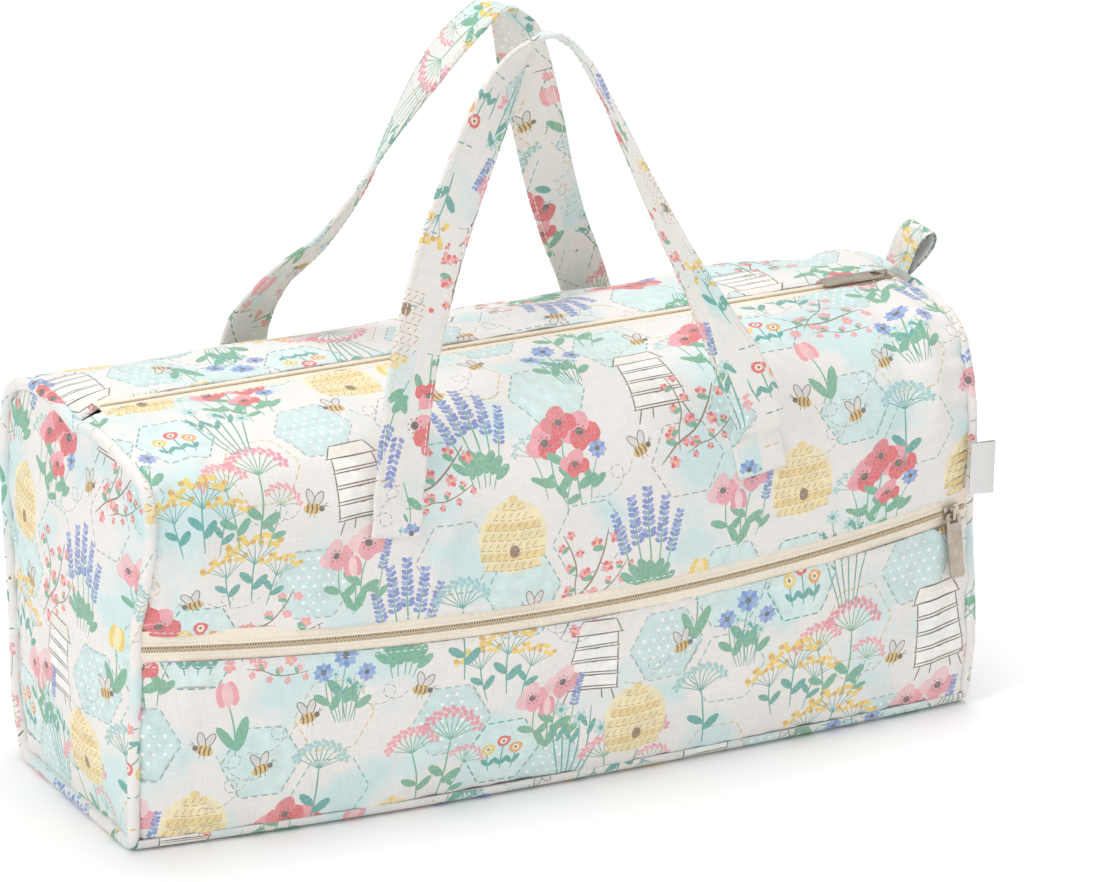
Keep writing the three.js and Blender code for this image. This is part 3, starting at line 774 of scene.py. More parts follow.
def tulip(colour=YELLOW, light=PALE_YELLOW):
    return [stem([(0, -22), (1.2, -8), (0, 4)]),
            leaf(0.6, -20, 18, 1.15, GREEN, 0.16),
            leaf(0.4, -19, 15, 2.1, GREEN, 0.16),
            (colour, blob(-2.6, 9, 3.0, 6.4, -0.12)),
            (colour, blob(2.6, 9, 3.0, 6.4, 0.12)),
            (light, blob(0, 8.6, 2.7, 6.2))]


def grass():
    shapes = []
    for k, x in enumerate((-13, -8, -3, 2, 8, 13)):
        top = 15 + 7 * math.sin(k * 2.1)
        shapes.append(stem([(x * 0.35, -20), (x * 0.7, -4), (x, top)], TEAL, 0.8))
        if k % 2:
            for i in range(7):
                a = i * 2 * math.pi / 7
                middle = (x + 2.6 * math.cos(a), top + 2.6 * math.sin(a))
                shapes.append((PALE_TEAL, blob(*middle, 1.7, 1.0, a, 7)))
            shapes.append((TEAL, blob(x, top, 1.3, 1.3, corners=7)))
        else:
            shapes.append(leaf(x * 0.75, top * 0.3, 9, 1.1, TEAL, 0.16))
            shapes.append(leaf(x * 0.75, top * 0.5, 8, 2.1, TEAL, 0.16))
    return shapes


def moved(shapes, x, y, lean=0.0, size=1.0):
    """Shapes turned by lean degrees, scaled and shifted."""
    c, d = math.cos(math.radians(lean)) * size, math.sin(math.radians(lean)) * size
    turn = np.array([(c, d), (-d, c)])
    return [(colour, shape @ turn + (x, y)) for colour, shape in shapes]


def group(*rows):
    """Several drawings together, from (shapes, x, y, lean, size) rows."""
    return [shape for row in rows for shape in moved(*row)]


def lavender_clump():
    return group(*[(lavender(k), x, y, lean, size) for k, (x, y, lean, size) in enumerate(
        [(-11, 2, 16, 0.9), (-5, 6, 7, 1.0), (1, 8, 1, 1.05), (7, 5, -8, 0.95), (12, 0, -17, 0.85)])])


def poppy_clump():
    return group((umbel("9cc9c6", GREEN, 6), -15, 2, 12, 0.7), (cornflower(), 16, -2, -14, 0.75),
                 (poppy(), -7, 3, 12, 0.9), (poppy(), 9, 5, -8, 1.0), (poppy(RED, "e0757b"), 1, 12, 0, 0.85),
                 (poppy(), 3, -7, -16, 0.7))


def pink_clump():
    return group((poppy(PINK, "efbcc0"), -7, 2, 10, 0.8), (poppy("e79aa4", "f2c6c8"), 7, 6, -8, 0.9),
                 (tulip("e58f9b", "f3c9cb"), 0, -4, 0, 0.8), (lavender(3), 14, 0, -14, 0.7))


def umbel_clump():
    return group((umbel(), -10, 2, 10, 0.95), (umbel("e58f9b"), 7, 7, -5, 1.1),
                 (umbel(PINK, GREEN, 7), 15, -6, -22, 0.7))


def yarrow_clump():
    return group((yarrow(), -12, 0, 12, 0.8), (yarrow(), 2, 6, 0, 0.95), (yarrow(), 14, -2, -14, 0.75))


def cornflower_clump():
    return group((cornflower(), -9, -1, 14, 0.8), (cornflower(), 0, 5, 0, 0.95),
                 (cornflower("8593cf"), 9, -2, -14, 0.75), (grass(), 0, -8, 0, 0.6))


def blossom_branch(colour=RED):
    return group((twig(colour), 0, 0, 0, 1.0), (twig(colour), -4, 8, 42, 0.75),
                 (twig(colour), 8, -9, -16, 0.6))


def little_garden():
    """A dashed hexagon with three round flowers growing in it."""
    shapes = hexagon(TEAL, "d7eae8")
    for x, top, colour in ((-7, 2, YELLOW), (0.5, 6, RED), (7.5, 1, "e7a24f")):
        shapes += [stem([(x * 0.8, -11), (x, -4), (x, top)], TEAL, 0.8),
                   leaf(x * 0.85, -8, 6, 0.9, TEAL),
                   leaf(x * 0.85, -8, 6, 2.3, TEAL),
                   (colour, blob(x, top, 3.6, 3.4, corners=12, wobble=0.08, seed=2)),
                   ("f7ecd0", blob(x, top, 1.9, 1.8, corners=9)),
                   (BROWN, blob(x, top, 0.9, 0.9, corners=7))]
    return shapes


TILE = (312.0, 248.0)
# Each drawing in the print with its places in one repeat: x, y and, where it leans, the lean in degrees.
PLACES = [
    ("hexagon_dots", (22, 46)), ("hexagon_aqua", (57, 67)), ("hexagon_teal", (57, 27)),
    ("hexagon_tan", (128, 34)), ("hexagon_dots", (163, 54)), ("hexagon_teal", (214, 52)),
    ("hexagon_tan", (249, 73)), ("hexagon_aqua", (284, 53)), ("hexagon_dots", (276, 112)),
    ("hexagon_grey", (34, 132)), ("hexagon_dots", (69, 152)), ("hexagon_aqua", (128, 140)),
    ("hexagon_tan", (163, 160)), ("hexagon_teal", (163, 120)), ("hexagon_dots", (222, 150)),
    ("garden", (250, 128)), ("hexagon_aqua", (20, 206)), ("hexagon_tan", (55, 226)),
    ("garden", (96, 196)), ("hexagon_dots", (150, 222)), ("hexagon_grey", (222, 226)),
    ("hexagon_aqua", (257, 206)), ("hexagon_teal", (292, 226)), ("garden", (96, 62)),
    ("skep", (96, 108), (252, 232, -2), (196, 92, 2), (8, 8)),
    ("house", (176, 22, 4), (26, 176), (296, 170, -4)),
    ("lavenders", (10, 88), (196, 196), (238, 30)), ("poppies", (140, 92), (282, 16), (66, 190)),
    ("pinks", (60, 104), (170, 226), (272, 146)), ("umbels", (214, 128), (118, 18), (4, 232)),
    ("yarrows", (92, 14), (248, 176), (118, 232)), ("cornflowers", (66, 46), (168, 176), (300, 76)),
    ("blossom", (210, 18), (38, 148, 14)), ("blossom_pink", (130, 196, -20)),
    ("blossom", (290, 206, 30)), ("umbel_teal", (156, 128, -6), (44, 12, 8), (226, 196, 4)),
    ("grass", (122, 64), (288, 124)), ("tulip", (38, 66, -6)), ("tulip_pink", (112, 166, 8)),
    ("tulip", (224, 90, 4)), ("bee", (128, 136, 14), (150, 12, -12)), ("bee_left", (230, 62, 10)),
    ("bee", (262, 84, 24)), ("bee_left", (100, 148, -14)), ("bee", (150, 160, 12), (206, 168, -16)),
    ("bee_left", (92, 216, 18)), ("bee", (36, 208, 6)), ("bee_left", (262, 196, -10)),
    ("bee", (30, 44, 10)), ("bee_left", (180, 66, -8)), ("bee", (10, 140, 20)),
]
LAYOUT = [(name, *spot, 0)[:4] for name, *spots in PLACES for spot in spots]


def mirrored(shapes):
    return [(colour, shape * (-1, 1)) for colour, shape in shapes]


def counterclockwise(shape):
    after = np.roll(shape, -1, 0)
    return shape if np.sum(shape[:, 0] * after[:, 1] - after[:, 0] * shape[:, 1]) > 0 else shape[::-1]


def turned(points, angle):
    """Points in a plane, turned anticlockwise."""
    c, s = math.cos(angle), math.sin(angle)
    return np.column_stack([points[:, 0] * c - points[:, 1] * s, points[:, 0] * s + points[:, 1] * c])


DRAWN = {
    "hexagon_teal": hexagon("8fb9b7"),
    "hexagon_grey": hexagon("a9a6a2"),
    "hexagon_tan": hexagon("d9bf87"),
    "hexagon_aqua": hexagon("7fb0ae", "d0e6e4"),
    "hexagon_dots": hexagon("9bb9b9", "c9e1e0", True),
    "garden": little_garden(),
    "skep": skep(),
    "house": house_hive(),
    "bee": bee(),
    "bee_left": mirrored(bee()),
    "lavenders": lavender_clump(),
    "poppies": poppy_clump(),
    "pinks": pink_clump(),
    "umbels": umbel_clump(),
    "yarrows": yarrow_clump(),
    "cornflowers": cornflower_clump(),
    "blossom": blossom_branch(),
    "blossom_pink": blossom_branch(PINK),
    "umbel_teal": umbel("9cc9c6", TEAL),
    "grass": grass(),
    "tulip": tulip(),
    "tulip_pink": tulip(PINK, "efbcc0"),
}
REACH = 42


def print_over(low, high, shift, turn=0.0):
    """The print's shapes in a window of cloth, as (colour, polygon) in the window's own millimetres."""
    shapes = []
    low, high = np.array(low, float), np.array(high, float)
    corners = np.array([low, (high[0], low[1]), high, (low[0], high[1])])
    corners = turned(corners, -turn) - shift
    first, last = np.floor(corners.min(0) / TILE) - 1, np.ceil(corners.max(0) / TILE) + 1
    for i in range(int(first[0]), int(last[0]) + 1):
        drop = TILE[1] * 0.5 * (i % 2)
        for j in range(int(first[1]), int(last[1]) + 1):
            for name, x, y, lean in LAYOUT:
                place = np.array([[i * TILE[0] + x, j * TILE[1] + y + drop]]) + shift
                middle = turned(place, turn)[0]
                if np.any(middle < low - REACH) or np.any(middle > high + REACH):
                    continue
                for colour, shape in DRAWN[name]:
                    placed = turned(shape, math.radians(lean) + turn) + middle
                    if np.all(placed.max(0) > low) and np.all(placed.min(0) < high):
                        shapes.append((colour, counterclockwise(placed)))
    return shapes


# ------------------------------------------------------------------ printed panels


def inside(points, outline):
    """Which points lie inside a closed outline."""
    x, y = points[:, 0][:, None], points[:, 1][:, None]
    x0, y0 = outline[:, 0][None], outline[:, 1][None]
    x1, y1 = np.roll(outline[:, 0], -1)[None], np.roll(outline[:, 1], -1)[None]
    spans = (y0 > y) != (y1 > y)
    with np.errstate(divide="ignore", invalid="ignore"):
        cross = x0 + (y - y0) / (y1 - y0) * (x1 - x0)
    return (np.sum(spans & (x < cross), axis=1) % 2) == 1


def fill_points(outline, spacing):
    """A staggered grid of points inside an outline."""
    low, high = outline.min(0), outline.max(0)
    rows = np.arange(low[1] + spacing * 0.5, high[1], spacing * 0.87)
    points = [(x + (k % 2) * spacing * 0.5, y) for k, y in enumerate(rows)
              for x in np.arange(low[0] + spacing * 0.4, high[0], spacing)]
    return np.array([p for p, ok in zip(points, inside(np.array(points), outline)) if ok])


def cut(outline, shapes, extra):
    """Triangles filling an outline: points, corners, and which shape each shows (-1 is bare cloth)."""
    points = [tuple(p) for p in outline]
    faces = [list(range(len(points)))]
    for _, shape in shapes:
        faces.append(list(range(len(points), len(points) + len(shape))))
        points += [tuple(p) for p in shape]
    points += [tuple(p) for p in extra]
    verts, _, tris, _, _, origins = delaunay_2d_cdt([Vector(p) for p in points], [], faces, 1, 1e-4, True)
    kept = [(tri, max(o) - 1) for tri, o in zip(tris, origins) if 0 in o]
    return np.array([tuple(v) for v in verts]), [k[0] for k in kept], np.array([k[1] for k in kept])


def border_loop(faces):
    """The outer edges of a patch in order, as indices."""
    follow = {}
    seen = set()
    for face in faces:
        for a, b in zip(face, face[1:] + face[:1]):
            seen.add((a, b))
    for a, b in seen:
        if (b, a) not in seen:
            follow[a] = b
    start = min(follow)
    loop = [start]
    while follow[loop[-1]] != start:
        loop.append(follow[loop[-1]])
        if len(loop) > len(follow):
            raise ValueError("a panel's border isn't one loop")
    return loop


def set_print(data, shapes, which):
    """Ink colours per corner, from which shape each of the first faces shows (-1 is bare cloth)."""
    layer = data.color_attributes.new("Print", "FLOAT_COLOR", "CORNER")
    values = np.zeros((len(data.loops), 4), np.float32)
    starts = np.empty(len(data.polygons), int)
    totals = np.empty(len(data.polygons), int)
    data.polygons.foreach_get("loop_start", starts)
    data.polygons.foreach_get("loop_total", totals)
    for k, shape in enumerate(which):
        if shape >= 0:
            values[starts[k]:starts[k] + totals[k]] = linear(shapes[shape][0])
    layer.data.foreach_set("color", values.ravel())


def printed_panel(name, surface, outline, shapes, material, replaces, body="bag",
                  spacing=3.4, thickness=CLOTH_T, extra=(), lining_spacing=12.0):
    """A panel of printed cloth with its own thickness, cut to an outline on a surface."""
    uv, faces, which = cut(outline, shapes, np.vstack([fill_points(outline, spacing), *extra]))
    flip = surface.sign < 0
    used = sorted({v for f in faces for v in f})
    renumber = {v: k for k, v in enumerate(used)}
    uv = uv[used]
    faces = [[renumber[v] for v in f] for f in faces]
    loop = border_loop(faces)
    edge = uv[loop]
    back_uv, back_faces, _ = cut(edge, [], fill_points(edge, lining_spacing))
    normals = surface.normals(uv)
    back_normals = surface.normals(back_uv)
    points = np.vstack([surface.place(uv), surface.place(back_uv) - back_normals * thickness])
    shift = len(uv)
    all_faces = [f[::-1] if flip else f for f in faces]
    all_faces += [[v + shift for v in (f if flip else f[::-1])] for f in back_faces]
    count = len(loop)
    for k in range(count):
        a, b = loop[k], loop[(k + 1) % count]
        c, d = shift + (k + 1) % count, shift + k
        all_faces.append([a, b, c, d] if flip else [b, a, d, c])
    piece = new_object(name, points, all_faces, material, body, replaces)
    set_uv(piece.data, np.vstack([uv, back_uv]))
    set_print(piece.data, shapes, which)
    piece.data.normals_split_custom_set_from_vertices(np.vstack([normals, -back_normals]).tolist())
    return piece


def printed_tube(name, surface, shapes, material, spacing, rows, cap, body):
    """A printed tube: u along it, v round it. cap closes its two ends; without it the tube is a ring."""
    length, girth = surface.length, surface.girth
    low, high = np.array((0.3, 0.3)), np.array((length, girth)) - 0.3
    whole = [(c, s) for c, s in shapes if np.all(s.min(0) > low) and np.all(s.max(0) < high)]
    across = np.array(rows, float)
    steps = np.linspace(0, length, max(3, int(length / spacing) + 1))
    outline = np.vstack([np.column_stack([steps, np.zeros(len(steps))]),
                         np.column_stack([np.full(len(across) - 1, length), across[1:]]),
                         np.column_stack([steps[::-1][1:], np.full(len(steps) - 1, girth)]),
                         np.column_stack([np.zeros(len(across) - 2), across[1:-1][::-1]])])
    grid = np.array([(u, v) for v in across[1:-1] for u in steps[1:-1]])
    uv, faces, which = cut(outline, whole, grid)
    all_faces = [list(f) for f in faces]
    if cap:
        for at, order in ((0.0, 1), (length, -1)):
            rim = [i for i in np.argsort(uv[:, 1]) if abs(uv[i, 0] - at) < 1e-3 and uv[i, 1] < girth - 1e-3]
            all_faces.append([int(i) for i in rim[::order]])
    piece = new_object(name, surface.place(uv), all_faces, material, body)
    set_uv(piece.data, uv)
    set_print(piece.data, whole, which)
    bm = bmesh.new()
    bm.from_mesh(piece.data)
    bmesh.ops.remove_doubles(bm, verts=bm.verts, dist=0.00001)
    bmesh.ops.recalc_face_normals(bm, faces=bm.faces)
    bm.to_mesh(piece.data)
    bm.free()
    return piece


# ------------------------------------------------------------------ walls

WALL_END = 218.7
WALL_US = np.linspace(-WALL_END, WALL_END, 111)
NOTCH_DEPTH = 6.0


def bag_dip(points):
    """The top sinks to the zip's open end at the left, leaving a small notch there."""
    x, y, z = points[..., 0], points[..., 1], points[..., 2]
    near = np.clip((-196 - x) / 22, 0, 1)
    near = near * near * (3 - 2 * near)
    dip = NOTCH_DEPTH * near * np.exp(-((y / 17) ** 2)) * np.clip((z - 150) / 40, 0, 1)
    moved = points.copy()
    moved[..., 2] -= dip
    moved[..., 1] *= 1 - 0.9 * near * np.exp(-((y / 12) ** 2)) * (z > 150)
    return moved


def front_line(x):
    arc = front_zip.arc_at(x)
    across = np.array([-TAPE_EDGE, 0, TAPE_EDGE])
    zip_points = front_zip.place(np.full(3, arc), across, np.zeros(3))
    low, high = profile_at(x, FRONT_LOW), profile_at(x, FRONT_HIGH)
    line = dense_spline(np.vstack([low, zip_points, high, [(x, -HEM_EDGE, TOP_Z)]]))
    return line, length_of(line[:73])


def back_line(x):
    return dense_spline(np.vstack([[(x, HEM_EDGE, TOP_Z)], profile_at(x, BACK)]))[::-1]


def wall_grids():
    low, high, back = [], [], []
    for x in WALL_US:
        line, zip_at = front_line(x)
        low.append(resample(line, 32, 0, zip_at - HEM_EDGE))
        high.append(resample(line, 46, zip_at + HEM_EDGE))
        back.append(resample(back_line(x), 72))
    return [bag_dip(np.array(g)) for g in (low, high, back)]


def ripple(t, seed, low=9.0, high=34.0):
    """A soft uneven wave, between about -1 and 1."""
    chance = random.Random(seed)
    total = np.zeros_like(t)
    for _ in range(6):
        total += np.sin(2 * math.pi * t / chance.uniform(low, high) + chance.uniform(0, 6.3))
    return total / 3.2


def fold(u, v, place, angle, length, width, height):
    """One soft crease: a ridge with a shallow valley beside it."""
    c, s = math.cos(math.radians(angle)), math.sin(math.radians(angle))
    du, dv = u - place[0], v - place[1]
    along, beside = (du * c + dv * s) / length, (-du * s + dv * c) / width
    bend = beside + 0.5 * along**2
    return height * np.exp(-along**2) * (np.exp(-bend**2) - 0.55 * np.exp(-((bend - 1.5) ** 2)))


def random_folds(seed, count, low, high):
    """Small creases spread over a panel, each as fold() takes it."""
    chance = random.Random(seed)
    return [((chance.uniform(low[0], high[0]), chance.uniform(low[1], high[1])),
             chance.uniform(-65, 65), chance.uniform(14, 42), chance.uniform(5, 13),
             chance.uniform(0.4, 1.3) * chance.choice((-1, 1)))
            for _ in range(count)]


def wall_relief(hems, seams, folds, seed):
    """Hem edges that turn under, their stitch grooves, puckers beside the seams, and creases."""

    def relief(u, v):
        total = 1.8 * ripple(u * 0.6 + v * 0.35, seed, 40, 110)
        total *= ripple(v * 0.8 - u * 0.2, seed + 1, 45, 120)
        for edge in hems:
            d = np.abs(v - edge)
            groove = 0.28 * np.exp(-(((d - STITCH_INSET) / 0.55) ** 2))
            total += -0.75 * np.clip(1 - d / 1.3, 0, 1) ** 2 - groove
            total += 0.30 * ripple(u, seed + 2, 6, 22) * np.exp(-d / 5)
        for edge in seams:
            d = np.abs(v - edge)
            total += 0.5 * ripple(u, seed + 3, 10, 30) * np.exp(-d / 7) - 1.0 * np.exp(-d / 2.5)
        d = WALL_END - np.abs(u)
        total += ripple(v + np.sign(u) * 40, seed + 4, 9, 30) * np.exp(-d / 9) - 3.3 * np.exp(-d / 3.0)
        for crease in folds:
            total += fold(u, v, *crease)
        return total

    return relief


LOW_GRID, HIGH_GRID, BACK_GRID = wall_grids()
MIDDLE = len(WALL_US) // 2
LOW_V = length_of(LOW_GRID[MIDDLE])
HIGH_V0 = LOW_V + 2 * HEM_EDGE
HIGH_V = HIGH_V0 + length_of(HIGH_GRID[MIDDLE])
BACK_V = length_of(BACK_GRID[MIDDLE])

# Each crease has its place, its angle in degrees, its length, its width and its height.
LOW_FOLDS = [((-196, 60), 78, 34, 7, 1.1), ((-150, 62), 20, 40, 9, -0.7), ((120, 70), -12, 60, 10, 0.8),
             ((196, 48), 84, 36, 6, 1.4), ((30, 20), 8, 80, 10, 0.7)]
LOW_FOLDS += random_folds(3, 16, (-205, 8), (205, 82))
HIGH_FOLDS = [((197, 192), 86, 48, 8, 4.8), ((190, 140), 70, 30, 8, 1.0), ((-194, 176), 82, 40, 8, 2.4),
              ((-94, 158), 80, 26, 10, 0.8), ((94, 156), 100, 26, 10, 0.8), ((0, 214), 2, 90, 12, 0.9),
              ((140, 222), -8, 50, 8, 1.0)]
HIGH_FOLDS += random_folds(5, 24, (-205, 104), (205, 262))
BACK_FOLDS = [((207, BACK_V - 70), 90, 26, 9, 4.5), ((150, BACK_V - 52), 4, 46, 15, 3.0),
              ((60, BACK_V - 60), -6, 40, 12, 1.6), ((-120, BACK_V - 40), 8, 60, 10, 1.2)]
BACK_FOLDS += random_folds(7, 34, (-205, 10), (205, 250))

front_low = Surface(WALL_US, np.linspace(0, LOW_V, LOW_GRID.shape[1]), LOW_GRID,
                    wall_relief([LOW_V], [0], LOW_FOLDS, 11))
front_high = Surface(WALL_US, np.linspace(HIGH_V0, HIGH_V, HIGH_GRID.shape[1]), HIGH_GRID,
                     wall_relief([HIGH_V0, HIGH_V], [], HIGH_FOLDS, 12))
back_wall = Surface(WALL_US, np.linspace(0, BACK_V, BACK_GRID.shape[1]), BACK_GRID,
                    wall_relief([BACK_V], [0], BACK_FOLDS, 13), sign=-1.0)


def rectangle(u0, v0, u1, v1, step=3.0):
    corners = [(u0, v0), (u1, v0), (u1, v1), (u0, v1)]
    return np.vstack([straight(a, b, step)[:-1] for a, b in zip(corners, corners[1:] + corners[:1])])


HEM_ROWS = (0.35, 0.8, 1.3, 1.75, 2.2, 2.65, 3.3)
RIM_ROWS = (1, 2, 3.5, 5, 7, 9)


def rows_beside(edge, inward, u0, u1, rows=HEM_ROWS):
    """Close rows of points along an edge, which let the mesh follow its hem or its bend."""
    us = np.arange(u0 + 1.5, u1 - 1, 3.0)
    return [np.column_stack([us, np.full(len(us), edge + inward * d)]) for d in rows]


def wall_panel(name, surface, hems, material, node, shift):
    u0, u1, v0, v1 = surface.us[0], surface.us[-1], surface.vs[0], surface.vs[-1]
    extra = []
    for edge in hems:
        extra += rows_beside(edge, 1 if edge == v0 else -1, u0, u1)
    shapes = print_over((u0, v0), (u1, v1), shift)
    printed_panel(name, surface, rectangle(u0, v0, u1, v1), shapes, material, (node,), extra=extra)


def make_walls(cloth, thread):
    wall_panel("wall_front_lower", front_low, [LOW_V], cloth, "front_lower_panel", (24, 16))
    wall_panel("wall_front_upper", front_high, [HIGH_V0, HIGH_V], cloth, "front_upper_panel", (24, 22))
    wall_panel("wall_back", back_wall, [BACK_V], cloth, "back_panel", (120, 60))
    end = WALL_END - 2
    seams = [
        ("stitching_zip_lower", front_low, LOW_V - STITCH_INSET),
        ("stitching_zip_upper", front_high, HIGH_V0 + STITCH_INSET),
        ("stitching_top_front", front_high, HIGH_V - STITCH_INSET),
        ("stitching_top_back", back_wall, BACK_V - STITCH_INSET),
    ]
    for name, surface, v in seams:
        add_stitches(name, surface, [straight((-end, v), (end, v))], thread, "bag")


# ------------------------------------------------------------------ ends, base and piping

END_MIDDLE = np.array([0.0, 98.0])
END_BULGE = 9.0
END_GAP = 5.0
PIPING_R = 2.95
BIAS = math.radians(41)


def end_outline(side):
    """The bag's outline at one end: up the front, over the top, down the back and under the base."""
    x = side * HALF
    front = front_line(x)[0][:, 1:]
    back = back_line(x)[::-1][:, 1:]
    foot = [(0.1, 5.8), (2.5, 2.2), (8, 0), (30, 0)]
    under_back = [(back[-1, 0] - d, z) for d, z in foot]
    under_front = [(front[0, 0] + d, z) for d, z in foot[::-1]]
    loop = np.vstack([front, [(0, TOP_Z)], back, under_back, under_front])
    loop = bag_dip(np.column_stack([np.full(len(loop), x), loop]))[:, 1:]
    closed = np.vstack([loop, loop[:1]])
    return resample(closed, 260)[:-1]


def inset(loop, distance):
    t = unit(np.roll(loop, -1, 0) - np.roll(loop, 1, 0))
    inward = np.column_stack([t[:, 1], -t[:, 0]])
    return loop + inward * distance


class EndSurface(Surface):
    """An end panel over (y, z), swelling outwards from its edge."""

    def __init__(self, side, outline):
        self.side, self.sign, self.relief = side, side, None
        arms = outline - END_MIDDLE
        angles = np.arctan2(arms[:, 1], arms[:, 0])
        order = np.argsort(angles)
        self.angles, self.radii = angles[order], np.linalg.norm(arms, axis=1)[order]

    def share(self, yz):
        """How far out points are, from 0 in the middle to 1 at the edge."""
        arms = yz - END_MIDDLE
        reach = np.interp(np.arctan2(arms[:, 1], arms[:, 0]), self.angles, self.radii, period=2 * math.pi)
        return np.linalg.norm(arms, axis=1) / reach

    def base(self, uv):
        share = np.minimum(self.share(uv), 1.1)
        return np.column_stack([self.side * (HALF - 0.8 + END_BULGE * (1 - share**2.6)), uv])


def end_relief(surface, folds, seed):
    def relief(u, v):
        share = surface.share(np.column_stack([u, v]))
        around = np.arctan2(v - END_MIDDLE[1], u) * 80
        total = 0.8 * ripple(around, seed, 9, 28) * np.exp(-(1 - share) * 9)
        total += 0.6 * ripple(u * 0.7 + v * 0.4, seed + 1, 30, 80)
        for crease in folds:
            total += fold(u, v, *crease)
        return total

    return relief


class TubeSurface(Surface):
    """A round tube along a closed line: u along it, v round it from the side that faces the bag's middle."""

    def __init__(self, line, radius):
        self.closed = np.vstack([line, line[:1]])
        self.along = distances(self.closed)
        self.length = self.along[-1]
        side = np.cross(unit(np.roll(line, -1, 0) - np.roll(line, 1, 0)), (1.0, 0, 0))
        self.sides = np.vstack([side, side[:1]])
        self.radius, self.sign, self.relief = radius, 1.0, None
        self.girth = 2 * math.pi * radius

    def base(self, uv):
        u = np.mod(uv[:, 0], self.length)
        u = np.where(np.abs(uv[:, 0] - self.length) < 1e-6, 0.0, u)
        centre, side = [read_off(u, self.along, rows) for rows in (self.closed, self.sides)]
        angle = uv[:, 1] / self.girth * 2 * math.pi
        wave = u / self.length * 2 * math.pi
        r = self.radius * (1 + 0.035 * np.sin(wave * 61 + angle * 2) + 0.03 * np.sin(wave * 37 - angle))
        outwards = np.array([1.0, 0, 0])
        return centre + (np.cos(angle) * r)[:, None] * side + (np.sin(angle) * r)[:, None] * outwards


def make_end(side, name, node, material, folds, seed, shift):
    outline = end_outline(side)
    edge = inset(outline, END_GAP)
    surface = EndSurface(side, edge)
    surface.relief = end_relief(surface, folds, seed)
    shapes = print_over(edge.min(0), edge.max(0), shift)
    if side < 0:
        low, high = (-edge[:, 0].max(), edge[:, 1].min()), (-edge[:, 0].min(), edge[:, 1].max())
        shapes = mirrored(print_over(low, high, shift))
        shapes = [(colour, counterclockwise(shape)) for colour, shape in shapes]
    closed = counterclockwise(resample(np.vstack([edge, edge[:1]]), 240)[:-1])
    printed_panel(name, surface, closed, shapes, material, (node,))
    return outline


def make_piping(side, name, node, outline, material):
    centre = inset(outline, PIPING_R)
    centre[:, 1] = np.maximum(centre[:, 1], PIPING_R + 0.4)
    line = np.column_stack([np.full(len(centre), side * HALF), centre])
    surface = TubeSurface(line, PIPING_R)
    shapes = print_over((0, 0), (surface.length, surface.girth), (60 * side, 33), BIAS)
    rows = np.linspace(0, surface.girth, 15)
    piece = printed_tube(name, surface, shapes, material, 2.6, rows, False, "bag")
    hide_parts(node)


def make_base(material):
    grid = []
    for x in WALL_US:
        front, back = profile_at(x, FRONT_LOW)[0, 1], profile_at(x, BACK)[-1, 1]
        rim = [(0, SEAM_Z), (0.1, 5.8), (2.5, 2.2), (8, 0.1), (30, 0.1)]
        points = [(x, front + d, z) for d, z in rim] + [(x, back - d, z) for d, z in rim[::-1]]
        grid.append(resample(dense_spline(points), 60))
    grid = np.array(grid)
    grid[..., 2] = np.maximum(grid[..., 2], 0.05)
    width = length_of(grid[MIDDLE])
    surface = Surface(WALL_US, np.linspace(0, width, 60), grid, None, sign=-1.0)
    extra = rows_beside(0, 1, -WALL_END, WALL_END, RIM_ROWS)
    extra += rows_beside(width, -1, -WALL_END, WALL_END, RIM_ROWS)
    shapes = print_over((-WALL_END, 0), (WALL_END, width), (90, 200))
    printed_panel("wall_base", surface, rectangle(-WALL_END, 0, WALL_END, width), shapes, material,
                  ("base_panel",), extra=extra, spacing=6.0)


# ------------------------------------------------------------------ carrying straps

STRAP_W = 26.0
STRAP_T = 2.4
FOOT_X = 94.0
FOOT_ROWS = (147.0, 153.0, 160.0, 166.5)
FOOT_LEAN = 0.13
BOX_LENGTH = 24.5
STRAP_POINTS = 320
# A strap's middle line and its twist in degrees, from its left foot to its right.
FRONT_STRAP = [
    (-94, -87.5, 174.3, 0), (-90, -84, 200, 0), (-81, -76, 231, 0), (-64, -65, 272, 0), (-45, -55, 307, 3),
    (-27, -48, 337, 12), (-12, -43, 355, 36), (4, -41, 364, 76), (18, -43, 355, 96), (31, -50, 330, 100),
    (44, -57, 298, 92), (59, -66, 262, 82), (72.5, -76, 231, 68), (86, -84, 200, 35), (94, -87.5, 174.3, 4),
]
BACK_STRAP = [
    (-94, 87.5, 174.3, 0), (-92, 82, 197, 10), (-84, 69, 220, 32), (-66, 56, 242, 44), (-52, 45, 268, 50),
    (-40, 36, 298, 66), (-26, 26, 328, 88), (-10, 20, 350, 94), (5, 18, 361, 85), (17, 22, 350, 60),
    (28, 30, 322, 30), (40, 40, 290, 12), (52, 51, 258, 5), (66, 63, 227, 0), (83, 79, 198, 0),
    (94, 87.5, 174.3, 0),
]


def foot_points(grid, x):
    """The middle line of a strap foot, lying on the wall and leaning a little outwards towards its end."""
    column = grid[int(np.argmin(np.abs(WALL_US - x)))]
    points = []
    for z in FOOT_ROWS:
        k = int(np.argmin(np.abs(column[:, 2] - z) + np.where(np.abs(column[:, 1]) < 55, 99, 0)))
        t = column[k + 1, 1:] - column[k - 1, 1:]
        n = np.array([t[1], -t[0]]) / np.linalg.norm(t)
        n = n if n[0] * column[k, 1] > 0 else -n
        y = column[k, 1] + n[0] * (STRAP_T / 2 + 0.3)
        points.append((x + math.copysign(FOOT_LEAN, x) * (170 - z), y, z, 0))
    return points


def past_ends(line, length, u):
    """How far to go on in a straight line, for distances before a line's start or past its end."""
    over = u - np.clip(u, 0, length)
    ahead = np.where(over[:, None] > 0, line[-1] - line[-2], line[1] - line[0])
    return unit(ahead) * over[:, None]


